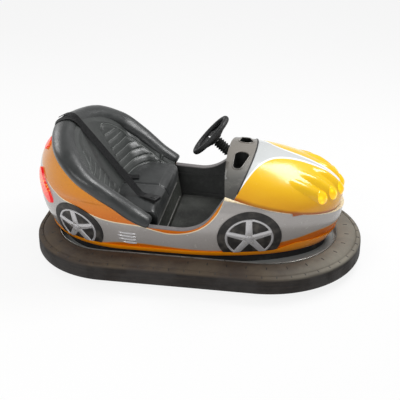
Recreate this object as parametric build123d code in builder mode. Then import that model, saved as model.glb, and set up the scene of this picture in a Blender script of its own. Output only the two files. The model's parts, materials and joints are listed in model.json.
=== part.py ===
"""Two-seat fairground bumper car: battery drive, front steering turret, moulded body, rubber ring.

Frame: +X forward, +Y to the car's left, +Z up, millimetres. The origin is on the floor under the
middle of the bumper ring.
"""
from build123d import *
from collections import namedtuple
from functools import lru_cache
from math import atan2, cos, degrees, radians, sin, tan
import os

os.makedirs("parts", exist_ok=True)

# ---------------------------------------------------------------- driving dimensions
# Bumper ring: a full half circle at the front, a slightly squarer tail
LENGTH = 1950
WIDTH = 1150
REAR_CORNER_RADIUS = 490
RING_WIDTH = 130
RING_BOTTOM = 45
RING_SHOULDER = 146
RING_CROWN = 165

# Chassis
DECK_TOP = 122
DECK_THICKNESS = 4
RIM_THICKNESS = 4
RIM_TOP = 153
PLINTH_WALL = 12

# Moulded body
BODY_BOTTOM = 172
BODY_WALL = 6
SKIRT_PROUD = 6
SKIRT_HEIGHT = 24
LIP_PROUD = 20
LIP_HEIGHT = 60
LEDGE_WIDTH = 38
LINER_WALL = 5
TRIM_THICKNESS = 5
TRIM_WIDTH = 60

# Seat
SEAT_HEIGHT = 392
CUSHION_THICKNESS = 106
TUB_WALL = 38

# Steering
STEERING_WHEEL_RADIUS = 131
STEERING_RIM = 14
SHAFT_RADIUS = 9
JACKET_RADIUS = 16

# Running gear
DRIVE_X = 520
DRIVE_WHEEL_RADIUS = 110
DRIVE_WHEEL_WIDTH = 56
SWING_RADIUS = 178
REAR_AXLE_X = -560
REAR_TRACK = 560
REAR_WHEEL_RADIUS = 75
REAR_WHEEL_WIDTH = 38

# Clearances
SEAM = 0.3
RUNNING_GAP = 6

# Outline of the body at a height: tail end, where the tail's curve starts, where the nose's
# curve starts, nose end and half width
Level = namedtuple("Level", "z rear rear_centre front_centre front half_width")
BODY_LEVELS = (
    Level(DECK_TOP, -862, -380, -60, 745, 388),
    Level(175, -895, -380, -60, 782, 404),
    Level(260, -942, -380, -40, 828, 424),
    Level(350, -966, -390, -30, 852, 446),
    Level(420, -970, -400, -80, 862, 464),
    Level(480, -968, -410, -250, 866, 481),
    Level(545, -956, -450, -400, 740, 493),
    Level(640, -924, -470, -420, 660, 500),
    Level(700, -882, -490, -440, 610, 497),
    Level(780, -808, -500, -450, 560, 468),
    Level(860, -700, -510, -460, 500, 400),
)
# The riser between deck and body, inside the ring's steel rim
PLINTH = Level(DECK_TOP, -834, -400, -60, 765, 394)
# The upholstered well inside the tail, at its padded surface
WELL_LEVELS = (
    Level(SEAT_HEIGHT - CUSHION_THICKNESS, -444, -300, 60, 400, 335),
    Level(SEAT_HEIGHT, -489, -340, 60, 400, 335),
    Level(520, -542, -370, 60, 400, 345),
    Level(640, -593, -400, 60, 400, 340),
    Level(740, -635, -430, 60, 400, 312),
    Level(830, -673, -460, 60, 400, 255),
)

# Bonnet: a stretched sphere, nose slightly up
BONNET_CENTRE = (-4, 355)
BONNET_RADII = (856, 475, 321)
BONNET_PITCH = -6

# Side profile of the body's upper edge, from the tail to the foot of the dash
TAIL_EDGE = 722
SILL_TOP = 344
PAD_FOOT_X = -232
DASH_FOOT = (204, 545)
BELT_SLOPE = -0.258
# Dash cowl: slopes of its two faces from the vertical, and where the bonnet starts at its foot
COWL_REAR_LEAN = -0.21
COWL_FRONT_LEAN = 0.535
COWL_FOOT_WIDTH = 45

# Steering column: the middle of the hand wheel, and the joint over the drive turret
WHEEL_CENTRE = (64, 745.5)
COLUMN_DROP = 42

OUT = 700
AHEAD = 1000


def belt(x):
    """Height of the joint between bonnet and body."""
    return DASH_FOOT[1] + BELT_SLOPE * (x - DASH_FOOT[0])


def cowl_rear(z):
    return DASH_FOOT[0] + COWL_REAR_LEAN * (z - DASH_FOOT[1])


def cowl_front(z):
    return DASH_FOOT[0] + COWL_FOOT_WIDTH + COWL_FRONT_LEAN * (z - DASH_FOOT[1] + 25)


# ---------------------------------------------------------------- construction forms
def oval(level, grow):
    """Sketch with straight sides and a half ellipse at each end."""
    half = level.half_width + grow
    front_centre = (level.front_centre, 0)
    rear_centre = (level.rear_centre, 0)
    with BuildSketch() as outline:
        with BuildLine():
            EllipticalCenterArc(
                front_centre, level.front + grow - level.front_centre, half, -90, arc_size=180
            )
            Line((level.front_centre, half), (level.rear_centre, half))
            EllipticalCenterArc(
                rear_centre, level.rear_centre - level.rear + grow, half, 90, arc_size=180
            )
            Line((level.rear_centre, -half), (level.front_centre, -half))
        make_face()
    return outline.sketch


@lru_cache(maxsize=None)
def lofted(levels, grow):
    """Solid through a stack of ovals, each grown by the same amount."""
    with BuildPart() as form:
        for level in levels:
            with BuildSketch(Plane.XY.offset(level.z)):
                add(oval(level, grow))
        loft()
    return form.part


def body_form(grow=0.0):
    return lofted(BODY_LEVELS, grow)


def well_form(grow=0.0):
    return lofted(WELL_LEVELS, grow)


@lru_cache(maxsize=None)
def bonnet_form(grow=0.0):
    """The bonnet's stretched sphere, grown by an even amount."""
    unit = 100
    with BuildPart() as form:
        Sphere(unit)
        scale(by=tuple((radius + grow) / unit for radius in BONNET_RADII))
    return Pos(BONNET_CENTRE[0], 0, BONNET_CENTRE[1]) * Rot(0, BONNET_PITCH, 0) * form.part


def side_prism(points, low=-OUT, high=OUT):
    """Solid with a straight-sided outline in X and Z, reaching from y = low to y = high."""
    with BuildPart() as prism:
        with BuildSketch(Plane.XZ.offset(-high)):
            with BuildLine():
                Polyline(*points, close=True)
            make_face()
        extrude(amount=high - low)
    return prism.part


@lru_cache(maxsize=None)
def below_rim(lift=0.0, floor=BODY_BOTTOM):
    """Everything over a floor and under the body's upper edge, or that edge lifted straight up."""
    with BuildPart() as prism:
        with BuildSketch(Plane.XZ):
            with BuildLine():
                FilletPolyline(
                    (-AHEAD, TAIL_EDGE + lift),
                    (-700, TAIL_EDGE + lift),
                    (PAD_FOOT_X, SILL_TOP + 4 + lift),
                    (60, SILL_TOP - 8 + lift),
                    (DASH_FOOT[0], DASH_FOOT[1] + lift),
                    radius=(110, 60, 230),
                )
                Line((DASH_FOOT[0], DASH_FOOT[1] + lift), (AHEAD, belt(AHEAD) + lift))
                Line((AHEAD, belt(AHEAD) + lift), (AHEAD, floor))
                Line((AHEAD, floor), (-AHEAD, floor))
                Line((-AHEAD, floor), (-AHEAD, TAIL_EDGE + lift))
            make_face()
        extrude(amount=OUT, both=True)
    return prism.part


def ring_outline(inset):
    """The bumper ring's plan outline, moved inwards, as edges in the current line."""
    half = WIDTH / 2 - inset
    rear = -LENGTH / 2 + inset
    corner = REAR_CORNER_RADIUS - inset
    nose_centre = LENGTH / 2 - WIDTH / 2
    rear_centre = -LENGTH / 2 + REAR_CORNER_RADIUS
    flank = WIDTH / 2 - REAR_CORNER_RADIUS
    CenterArc((nose_centre, 0), half, -90, 180)
    Line((nose_centre, half), (rear_centre, half))
    CenterArc((rear_centre, flank), corner, 90, 90)
    Line((rear, flank), (rear, -flank))
    CenterArc((rear_centre, -flank), corner, 180, 90)
    Line((rear_centre, -half), (nose_centre, -half))


def ring_plate(bottom, top, inset):
    with BuildPart() as plate:
        with BuildSketch(Plane.XY.offset(bottom)):
            with BuildLine():
                ring_outline(inset)
            make_face()
        extrude(amount=top - bottom)
    return plate.part


def block(low, high):
    """Plain construction box between two corners."""
    size = [b - a for a, b in zip(low, high)]
    middle = tuple((a + b) / 2 for a, b in zip(low, high))
    with BuildPart() as cuboid:
        with Locations(middle):
            Box(*size)
    return cuboid.part


def finish(name, part):
    part.label = name
    export_step(part, f"parts/{name}.step")


# ---------------------------------------------------------------- bumper ring and deck
ring_mid = WIDTH / 2
with BuildPart() as bumper_tube:
    with BuildLine(Plane.XY) as ring_path:
        ring_outline(0)
    with BuildSketch(Plane(origin=(0, -ring_mid, 0), x_dir=(0, 1, 0), z_dir=(1, 0, 0))):
        with BuildLine():
            Line((10, RING_BOTTOM), (0, RING_BOTTOM + 10))
            Line((0, RING_BOTTOM + 10), (0, RING_SHOULDER - 16))
            ThreePointArc((0, RING_SHOULDER - 16), (4, RING_SHOULDER - 5), (14, RING_SHOULDER))
            Line((14, RING_SHOULDER), (27, RING_SHOULDER + 3))
            Line((27, RING_SHOULDER + 3), (29, RING_SHOULDER - 1))
            Line((29, RING_SHOULDER - 1), (33, RING_SHOULDER + 4))
            ThreePointArc((33, RING_SHOULDER + 4), (72, RING_CROWN), (112, RING_CROWN - 11))
            Line((112, RING_CROWN - 11), (RING_WIDTH, RING_CROWN - 15))
            Line((RING_WIDTH, RING_CROWN - 15), (RING_WIDTH, RING_BOTTOM + 15))
            Line((RING_WIDTH, RING_BOTTOM + 15), (RING_WIDTH - 15, RING_BOTTOM))
            Line((RING_WIDTH - 15, RING_BOTTOM), (10, RING_BOTTOM))
        make_face()
    sweep(path=ring_path.wire())
finish("bumper_tube", bumper_tube.part)

rim_inset = RING_WIDTH + SEAM
deck_inset = rim_inset + RIM_THICKNESS + SEAM
with BuildPart() as bumper_rim:
    add(ring_plate(DECK_TOP - 2 * DECK_THICKNESS, RIM_TOP, rim_inset))
    add(ring_plate(DECK_TOP - DECK_THICKNESS, RIM_TOP, rim_inset + RIM_THICKNESS), mode=Mode.SUBTRACT)
    add(ring_plate(DECK_TOP - 2 * DECK_THICKNESS, RIM_TOP, rim_inset + 34), mode=Mode.SUBTRACT)
finish("bumper_rim", bumper_rim.part)

slot_length = 2 * REAR_WHEEL_RADIUS + 24
slot_width = REAR_WHEEL_WIDTH + 24
with BuildPart() as deck:
    add(ring_plate(DECK_TOP - DECK_THICKNESS, DECK_TOP, deck_inset))
    with BuildSketch(Plane.XY.offset(DECK_TOP)):
        with Locations((DRIVE_X, 0)):
            Circle(SWING_RADIUS + RUNNING_GAP)
        with Locations((REAR_AXLE_X, REAR_TRACK / 2), (REAR_AXLE_X, -REAR_TRACK / 2)):
            Rectangle(slot_length, slot_width)
    extrude(amount=-DECK_THICKNESS, mode=Mode.SUBTRACT)
finish("deck", deck.part)

with BuildPart() as body_plinth:
    with BuildSketch(Plane.XY.offset(DECK_TOP)):
        add(oval(PLINTH, 0))
    extrude(amount=BODY_BOTTOM - DECK_TOP)
    with BuildSketch(Plane.XY.offset(DECK_TOP)):
        add(oval(PLINTH, -PLINTH_WALL))
    extrude(amount=BODY_BOTTOM - DECK_TOP, mode=Mode.SUBTRACT)
finish("body_plinth", body_plinth.part)

# ---------------------------------------------------------------- moulded body
with BuildPart() as body_shell:
    add(body_form())
    add(body_form(-BODY_WALL), mode=Mode.SUBTRACT)
    add(below_rim(-TRIM_THICKNESS), mode=Mode.INTERSECT)
finish("body_shell", body_shell.part)

# Skirt: low and thin along the sides, rising into a chin at the nose
def skirt_profile(lift):
    """Side outline of the skirt, its top line lifted."""
    return (
        (-AHEAD, BODY_BOTTOM),
        (-AHEAD, BODY_BOTTOM + SKIRT_HEIGHT / 2 + lift),
        (-600, BODY_BOTTOM + SKIRT_HEIGHT + lift),
        (480, BODY_BOTTOM + SKIRT_HEIGHT + lift),
        (600, BODY_BOTTOM + LIP_HEIGHT + lift),
        (AHEAD, BODY_BOTTOM + LIP_HEIGHT + lift),
        (AHEAD, BODY_BOTTOM),
    )


with BuildPart() as sill_skirt:
    add(body_form(SKIRT_PROUD))
    add(side_prism(skirt_profile(0)), mode=Mode.INTERSECT)
    add(body_form(SEAM), mode=Mode.SUBTRACT)
finish("sill_skirt", sill_skirt.part)

# Bright trim lying on the body's edge all round the bonnet and the dash foot
with BuildPart() as belt_trim:
    add(body_form(3))
    add(body_form(-TRIM_WIDTH), mode=Mode.SUBTRACT)
    add(below_rim(0), mode=Mode.INTERSECT)
    add(below_rim(-TRIM_THICKNESS), mode=Mode.SUBTRACT)
    add(block((DASH_FOOT[0] + 1, -OUT, 0), (AHEAD, OUT, AHEAD)), mode=Mode.INTERSECT)
finish("belt_trim", belt_trim.part)

# Rolled ledge on the two door sills
with BuildPart() as sill_ledge:
    add(body_form(-0.5))
    add(body_form(-LEDGE_WIDTH), mode=Mode.SUBTRACT)
    add(below_rim(0), mode=Mode.INTERSECT)
    add(below_rim(-TRIM_THICKNESS), mode=Mode.SUBTRACT)
    add(block((PAD_FOOT_X + 8, -OUT, 0), (DASH_FOOT[0], OUT, AHEAD)), mode=Mode.INTERSECT)
finish("sill_ledge", sill_ledge.part)

# Bonnet with three lamp fingers on each side of its middle: tips, then roots under the surface
FINGER_TIPS = ((722, 196, 489), (775, 129, 487), (800, 50, 482))
FINGER_ROOTS = ((530, 205, 587), (596, 122, 602), (650, 30, 596))
FINGER_ROOT_RADIUS = 16
FINGER_TIP_RADIUS = 34
LENS_PROUD = 4
LENS_RADII = (20, 33)


def finger(tip, root, side, grow):
    """Tapered finger with a round tip, on one side of the bonnet."""
    start = Vector(root[0], side * root[1], root[2])
    end = Vector(tip[0], side * tip[1], tip[2])
    run = Plane(origin=start, z_dir=end - start)
    base = (Align.CENTER, Align.CENTER, Align.MIN)
    with BuildPart() as form:
        with Locations(run.location):
            Cone(FINGER_ROOT_RADIUS + grow, FINGER_TIP_RADIUS + grow, (end - start).length, align=base)
        with Locations(end):
            Sphere(FINGER_TIP_RADIUS + grow)
    return form.part


def fingers(grow=0.0, sides=(-1, 1)):
    """The fingers of one or both sides, grown by an even amount."""
    return [
        finger(tip, root, side, grow)
        for tip, root in zip(FINGER_TIPS, FINGER_ROOTS)
        for side in sides
    ]


def bonnet_side(front, rear_gap):
    """Region over the belt and ahead of, or behind, the bonnet's rear edge."""
    top = 760
    foot = cowl_front(belt(DASH_FOOT[0] + COWL_FOOT_WIDTH)) + rear_gap
    ahead = (
        (foot, belt(foot)),
        (cowl_front(top) + rear_gap, top),
        (AHEAD, top),
        (AHEAD, belt(AHEAD)),
    )
    behind = (
        (cowl_rear(DASH_FOOT[1]), DASH_FOOT[1]),
        (cowl_rear(top), top),
        (cowl_front(top), top),
        (foot, belt(foot)),
    )
    return side_prism(ahead if front else behind)


BONNET_WALL = 6
with BuildPart() as hood:
    add(bonnet_form())
    add(fingers())
    add(bonnet_form(-BONNET_WALL), mode=Mode.SUBTRACT)
    add(bonnet_side(True, SEAM), mode=Mode.INTERSECT)
finish("hood", hood.part)

with BuildPart() as headlamps:
    for x, y, z in FINGER_TIPS:
        outward = Vector(0.84, -y / AHEAD, 0.5)
        with BuildSketch(Plane(origin=(x, -y, z), x_dir=(0, 1, 0), z_dir=outward)):
            Ellipse(*LENS_RADII)
        extrude(amount=2 * FINGER_TIP_RADIUS)
    grown = fingers(LENS_PROUD, (-1,))
    add(grown[0].fuse(*grown[1:]), mode=Mode.INTERSECT)
    add(fingers(SEAM, (-1,)), mode=Mode.SUBTRACT)
    add(bonnet_form(SEAM), mode=Mode.SUBTRACT)
    mirror(about=Plane.XZ)
finish("headlamps", headlamps.part)

# ---------------------------------------------------------------- dash cowl
COWL_WALL = 8
POCKET = ((262, 105, 36), (252, 178, 24))
POCKET_FLOOR = 596
POCKET_WALL = 4
column_axis = Vector(cos(radians(COLUMN_DROP)), 0, -sin(radians(COLUMN_DROP)))
column = Plane(
    origin=(WHEEL_CENTRE[0], 0, WHEEL_CENTRE[1]), x_dir=(0, 1, 0), z_dir=column_axis
)
BOOT_RADIUS = 33


def pocket(side, grow, floor):
    """Upright prism of a pocket's teardrop mouth, from its floor to above the cowl."""
    with BuildPart() as prism:
        with BuildSketch(Plane.XY.offset(floor)):
            for x, y, radius in POCKET:
                with Locations((x, side * y)):
                    Circle(radius + grow)
            make_hull()
        extrude(amount=760 - floor)
    return prism.part


with BuildPart() as dash_cowl:
    add(bonnet_form(-0.5))
    add(bonnet_form(-COWL_WALL), mode=Mode.SUBTRACT)
    add(bonnet_side(False, 0), mode=Mode.INTERSECT)
    rear_face = (
        (cowl_rear(DASH_FOOT[1]), DASH_FOOT[1]),
        (cowl_rear(760), 760),
        (cowl_rear(760) + COWL_WALL, 760),
        (cowl_rear(DASH_FOOT[1]) + COWL_WALL, DASH_FOOT[1]),
    )
    add(bonnet_form(-0.5).intersect(side_prism(rear_face)))
    for side in (-1, 1):
        add(pocket(side, POCKET_WALL, POCKET_FLOOR - POCKET_WALL).intersect(bonnet_form(-1)))
    for side in (-1, 1):
        add(pocket(side, 0, POCKET_FLOOR), mode=Mode.SUBTRACT)
    with BuildSketch(column.offset(40)):
        Circle(BOOT_RADIUS + 1)
    extrude(amount=170, mode=Mode.SUBTRACT)
finish("dash_cowl", dash_cowl.part)

# ---------------------------------------------------------------- cockpit
liner_out = -LEDGE_WIDTH + LINER_WALL + 0.5
liner_in = -LEDGE_WIDTH
BULKHEAD_X = 335
LINER_REAR = PAD_FOOT_X + 2
with BuildPart() as cockpit_liner:
    add(body_form(liner_out))
    add(body_form(liner_in), mode=Mode.SUBTRACT)
    add(block((LINER_REAR, -OUT, 0), (BULKHEAD_X, OUT, AHEAD)), mode=Mode.INTERSECT)
    bulkhead = block((BULKHEAD_X - LINER_WALL, -OUT, DECK_TOP), (BULKHEAD_X, OUT, AHEAD))
    add(body_form(liner_in + 1).intersect(bulkhead))
    add(below_rim(-TRIM_THICKNESS, DECK_TOP + SEAM), mode=Mode.INTERSECT)
    for height in (175, 290):
        rib = block((LINER_REAR, -OUT, height), (BULKHEAD_X, OUT, height + 12))
        add(body_form(liner_in + 1).cut(body_form(liner_in - 6)).intersect(rib))
    with BuildSketch(column.offset(250)):
        Circle(JACKET_RADIUS + RUNNING_GAP)
    extrude(amount=300, mode=Mode.SUBTRACT)
finish("cockpit_liner", cockpit_liner.part)

KICK_TOP_X = -205
KICK_FOOT_X = -168
seat_base_top = SEAT_HEIGHT - CUSHION_THICKNESS - SEAM
base_wall = 6
SEAT_BASE_REAR = -440
base_foot = DECK_TOP + SEAM
base_grow = -LEDGE_WIDTH - 8


def base_profile(wall):
    """Side outline of the seat base, drawn in by its wall except at the foot."""
    return (
        (SEAT_BASE_REAR + wall, base_foot),
        (SEAT_BASE_REAR + wall, seat_base_top - wall),
        (KICK_TOP_X - wall, seat_base_top - wall),
        (KICK_FOOT_X - wall, base_foot),
    )


with BuildPart() as seat_base:
    add(body_form(base_grow))
    add(side_prism(base_profile(0)), mode=Mode.INTERSECT)
    hollow = side_prism(base_profile(base_wall))
    add(body_form(base_grow - base_wall).intersect(hollow), mode=Mode.SUBTRACT)
finish("seat_base", seat_base.part)

FLOOR_TOP = 165
FLOOR_WALL = 6
with BuildPart() as cockpit_floor:
    floor_front = BULKHEAD_X - LINER_WALL - 1
    floor_rear = KICK_FOOT_X + 1
    add(body_form(base_grow))
    add(
        block((floor_rear, -OUT, DECK_TOP + SEAM), (floor_front, OUT, FLOOR_TOP)),
        mode=Mode.INTERSECT,
    )
    under = block(
        (floor_rear + FLOOR_WALL, -OUT, DECK_TOP), (floor_front - FLOOR_WALL, OUT, FLOOR_TOP - FLOOR_WALL)
    )
    add(body_form(base_grow - FLOOR_WALL).intersect(under), mode=Mode.SUBTRACT)
finish("cockpit_floor", cockpit_floor.part)

# ---------------------------------------------------------------- seat
TUB_RISE = 0.96


def tub_outline(lift):
    """Side outline of the upholstered tub, whose edge climbs from the door sill to the tail."""
    foot = SILL_TOP + 12 + lift
    return (
        (-AHEAD, foot + TUB_RISE * (PAD_FOOT_X + AHEAD)),
        (PAD_FOOT_X, foot),
        (PAD_FOOT_X, 0),
        (-AHEAD, 0),
    )


with BuildPart() as seat_tub:
    add(well_form(TUB_WALL))
    add(well_form(), mode=Mode.SUBTRACT)
    add(side_prism(tub_outline(0)), mode=Mode.INTERSECT)
finish("seat_tub", seat_tub.part)

with BuildPart() as seat_cushion:
    add(well_form(-1.5))
    add(
        side_prism(
            (
                (-600, seat_base_top + SEAM),
                (-600, SEAT_HEIGHT),
                (-195, SEAT_HEIGHT),
                (-195, seat_base_top + SEAM),
            )
        ),
        mode=Mode.INTERSECT,
    )
    front = seat_cushion.faces().sort_by(Axis.X)[-1]
    fillet(front.edges().sort_by(Axis.Z)[-1], 42)
finish("seat_cushion", seat_cushion.part)

# Padded roll round the seat opening, lofted through leaning ellipses. Each station of one half:
# its middle, the half sizes of its ellipse and its lean outwards in degrees
Station = namedtuple("Station", "x y z width height tilt")
PAD_STATIONS = (
    Station(-212, 430, 366, 54, 34, 4),
    Station(-320, 424, 428, 70, 44, 4),
    Station(-400, 419, 492, 78, 48, 5),
    Station(-480, 406, 560, 84, 50, 8),
    Station(-560, 374, 628, 88, 51, 12),
    Station(-636, 300, 696, 92, 52, 17),
    Station(-702, 170, 742, 97, 53, 22),
    Station(-726, 0, 758, 100, 54, 24),
)


def pad_ring():
    """The roll's stations from its left end round the tail to its right end."""
    right = [station._replace(y=-station.y) for station in reversed(PAD_STATIONS[:-1])]
    return list(PAD_STATIONS) + right


def station_plane(before, station, after):
    """Plane across the roll at a station, leaning outwards."""
    forward = Vector(after.x - before.x, after.y - before.y, after.z - before.z)
    outward = Vector(forward.Y, -forward.X, 0).normalized()
    lean = Vector(0, 0, -tan(radians(station.tilt)))
    return Plane(origin=(station.x, station.y, station.z), x_dir=outward + lean, z_dir=forward)


with BuildPart() as seat_collar:
    ring = pad_ring()
    for before, station, after in zip(ring[:1] + ring, ring, ring[1:] + ring[-1:]):
        with BuildSketch(station_plane(before, station, after)):
            Ellipse(station.width, station.height)
    loft(ruled=True)
    add(body_form(SEAM).intersect(below_rim(SEAM)), mode=Mode.SUBTRACT)
    add(well_form(TUB_WALL + SEAM).intersect(side_prism(tub_outline(SEAM))), mode=Mode.SUBTRACT)
finish("seat_collar", seat_collar.part)

# ---------------------------------------------------------------- lamps and wheel trims
LAMP_PROUD = 12


def tail_lamp(name, outline, tilt):
    """Pair of lenses on the tail, cut by an outline seen from behind: y, z, half width, half height."""
    with BuildPart() as lens:
        with BuildSketch(Plane.YZ.offset(-AHEAD)):
            for side in (-1, 1):
                with Locations(Location((side * outline[0], outline[1]), side * tilt)):
                    Ellipse(outline[2], outline[3])
        extrude(amount=400)
        add(body_form(LAMP_PROUD), mode=Mode.INTERSECT)
        add(below_rim(), mode=Mode.INTERSECT)
        add(body_form(SEAM), mode=Mode.SUBTRACT)
    finish(name, lens.part)


tail_lamp("tail_lamps_upper", (158, 700, 44, 24), -25)
tail_lamp("tail_lamps_lower", (264, 478, 42, 104), 20)

DISC_PROUD = 5
STAR_PROUD = 9
FRONT_TRIM = Plane(origin=(347, -OUT, 298), x_dir=(1, 0, 0), z_dir=(0, 1, 0))
REAR_TRIM_NORMAL = Vector(0.45, 0.86, 0.24)
REAR_TRIM_MIDDLE = Vector(-655, -362, 280)
REAR_TRIM = Plane(
    origin=REAR_TRIM_MIDDLE - REAR_TRIM_NORMAL * 300, x_dir=(1, -0.52, 0), z_dir=REAR_TRIM_NORMAL
)
FRONT_TYRE = 179
REAR_TYRE = 168
RIM_SHARE = 0.76
SPOKES = 5
# Shares of the star's radius: inside of its ring, its hub and half the width of a spoke
RIM_RING = 0.91
HUB_SHARE = 0.32
SPOKE_ROOT = 0.22
SPOKE_TIP = 0.16


def star(radius):
    """Rim ring, hub and broad tapered spokes of a moulded wheel trim."""
    inner = RIM_RING * radius
    with BuildSketch() as face:
        Circle(radius)
        Circle(inner, mode=Mode.SUBTRACT)
        Circle(HUB_SHARE * radius)
        for spoke in range(SPOKES):
            turn = 90 + spoke * 360 / SPOKES
            with Locations(Location((0, 0), turn)):
                Polygon(
                    (0, -SPOKE_ROOT * radius),
                    (inner + 1, -SPOKE_TIP * radius),
                    (inner + 1, SPOKE_TIP * radius),
                    (0, SPOKE_ROOT * radius),
                    align=None,
                )
    return face.sketch


def wheel_trims(name, disc, inner, outer):
    """Four skins on the body, two each side, each cut by a round tyre or by a star."""
    with BuildPart() as trims:
        for plane, radius in ((FRONT_TRIM, FRONT_TYRE), (REAR_TRIM, REAR_TYRE)):
            with BuildSketch(plane):
                if disc:
                    Circle(radius)
                else:
                    add(star(RIM_SHARE * radius))
            extrude(amount=500)
        add(body_form(outer), mode=Mode.INTERSECT)
        add(body_form(inner), mode=Mode.SUBTRACT)
        add(block((-AHEAD, -OUT, BODY_BOTTOM), (AHEAD, -200, 500)), mode=Mode.INTERSECT)
        add(side_prism(skirt_profile(2)), mode=Mode.SUBTRACT)
        mirror(about=Plane.XZ)
    finish(name, trims.part)


wheel_trims("wheel_trim_discs", True, SEAM, DISC_PROUD)
wheel_trims("wheel_trim_stars", False, DISC_PROUD + SEAM, STAR_PROUD)

# ---------------------------------------------------------------- rear wheels
AXLE_RADIUS = 10
HUB_RADIUS = 44
BRACKET_PLATE = 6
DECK_UNDER = DECK_TOP - DECK_THICKNESS
half_wheel = REAR_WHEEL_WIDTH / 2
plate_near = half_wheel + RUNNING_GAP
for side, label in ((1, "left"), (-1, "right")):
    middle = side * REAR_TRACK / 2
    wheel_plane = Plane.XZ.offset(-middle)
    with BuildPart() as tyre:
        with BuildSketch(wheel_plane):
            with Locations((REAR_AXLE_X, REAR_WHEEL_RADIUS)):
                Circle(REAR_WHEEL_RADIUS)
        extrude(amount=half_wheel, both=True)
        fillet(tyre.edges(), 6)
        with BuildSketch(wheel_plane):
            with Locations((REAR_AXLE_X, REAR_WHEEL_RADIUS)):
                Circle(HUB_RADIUS)
        extrude(amount=half_wheel, both=True, mode=Mode.SUBTRACT)
    finish(f"rear_tyre_{label}", tyre.part)
    with BuildPart() as hub:
        with BuildSketch(wheel_plane):
            with Locations((REAR_AXLE_X, REAR_WHEEL_RADIUS)):
                Circle(HUB_RADIUS)
        extrude(amount=half_wheel - 4, both=True)
        with BuildSketch(wheel_plane):
            with Locations((REAR_AXLE_X, REAR_WHEEL_RADIUS)):
                Circle(AXLE_RADIUS + 10)
        extrude(amount=half_wheel + RUNNING_GAP - 2 * SEAM, both=True)
        with BuildSketch(wheel_plane):
            with Locations((REAR_AXLE_X, REAR_WHEEL_RADIUS)):
                Circle(AXLE_RADIUS + SEAM)
        extrude(amount=REAR_WHEEL_WIDTH, both=True, mode=Mode.SUBTRACT)
    finish(f"rear_hub_{label}", hub.part)

with BuildPart() as rear_brackets:
    for middle in (-REAR_TRACK / 2, REAR_TRACK / 2):
        for inner in (plate_near, -plate_near - BRACKET_PLATE):
            with BuildSketch(Plane.XZ.offset(-(middle + inner))):
                with BuildLine():
                    Line((REAR_AXLE_X - 70, DECK_UNDER), (REAR_AXLE_X + 70, DECK_UNDER))
                    Line((REAR_AXLE_X + 70, DECK_UNDER), (REAR_AXLE_X + 18, 62))
                    ThreePointArc((REAR_AXLE_X + 18, 62), (REAR_AXLE_X, 52), (REAR_AXLE_X - 18, 62))
                    Line((REAR_AXLE_X - 18, 62), (REAR_AXLE_X - 70, DECK_UNDER))
                make_face()
                with Locations((REAR_AXLE_X, REAR_WHEEL_RADIUS)):
                    Circle(AXLE_RADIUS, mode=Mode.SUBTRACT)
            extrude(amount=-BRACKET_PLATE)
finish("rear_brackets", rear_brackets.part)

axle_half = plate_near + BRACKET_PLATE + 8
with BuildPart() as rear_axles:
    for middle in (-REAR_TRACK / 2, REAR_TRACK / 2):
        with BuildSketch(Plane.XZ.offset(-middle)):
            with Locations((REAR_AXLE_X, REAR_WHEEL_RADIUS)):
                Circle(AXLE_RADIUS)
        extrude(amount=axle_half, both=True)
finish("rear_axles", rear_axles.part)

BATTERY_HEIGHT = 190
with BuildPart() as battery:
    with Locations((-625, 0, DECK_TOP + SEAM + BATTERY_HEIGHT / 2)):
        Box(190, 400, BATTERY_HEIGHT)
    fillet(battery.edges().filter_by(Axis.Z), 10)
finish("battery", battery.part)

# ---------------------------------------------------------------- drive turret
BRIDGE_BOTTOM = 262
BRIDGE_THICKNESS = 8
KINGPIN_RADIUS = 20
turret_top = BRIDGE_BOTTOM - RUNNING_GAP
crown = 12
joint_height = WHEEL_CENTRE[1] - (DRIVE_X - WHEEL_CENTRE[0]) * tan(radians(COLUMN_DROP))
BALL_RADIUS = 15
cup_top = joint_height - 5
fork_gap = DRIVE_WHEEL_WIDTH / 2 + RUNNING_GAP
FORK_PLATE = 8
MOTOR_RADIUS = 62
MOTOR_LENGTH = 84

with BuildPart() as turret:
    with BuildSketch(Plane.XY.offset(turret_top)):
        with Locations((DRIVE_X, 0)):
            Circle(84)
    extrude(amount=-crown)
    with BuildSketch(Plane.XY.offset(turret_top)):
        with Locations((DRIVE_X, 0)):
            Circle(KINGPIN_RADIUS)
    extrude(amount=BRIDGE_BOTTOM + BRIDGE_THICKNESS + SEAM - turret_top)
    with BuildSketch(Plane.XY.offset(BRIDGE_BOTTOM + BRIDGE_THICKNESS + SEAM)):
        with Locations((DRIVE_X, 0)):
            Circle(30)
    extrude(amount=12)
    with BuildSketch(Plane.XY.offset(BRIDGE_BOTTOM + BRIDGE_THICKNESS + SEAM)):
        with Locations((DRIVE_X, 0)):
            Circle(BALL_RADIUS + 9)
    extrude(amount=cup_top - BRIDGE_BOTTOM - BRIDGE_THICKNESS - SEAM)
    with BuildSketch(Plane.XY.offset(cup_top)):
        with Locations((DRIVE_X, 0)):
            Circle(BALL_RADIUS + 0.8)
    extrude(amount=-(BALL_RADIUS - 5 + 0.8), mode=Mode.SUBTRACT)
finish("turret", turret.part)

fork_top = turret_top - crown
with BuildPart() as drive_fork:
    for near in (fork_gap, -fork_gap - FORK_PLATE):
        with BuildSketch(Plane.XZ.offset(-near)):
            with BuildLine():
                Line((DRIVE_X - 62, fork_top), (DRIVE_X + 62, fork_top))
                Line((DRIVE_X + 62, fork_top), (DRIVE_X + 30, 88))
                ThreePointArc((DRIVE_X + 30, 88), (DRIVE_X, 72), (DRIVE_X - 30, 88))
                Line((DRIVE_X - 30, 88), (DRIVE_X - 62, fork_top))
            make_face()
            with Locations((DRIVE_X, DRIVE_WHEEL_RADIUS)):
                Circle(14 + SEAM, mode=Mode.SUBTRACT)
        extrude(amount=-FORK_PLATE)
finish("drive_fork", drive_fork.part)

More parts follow.
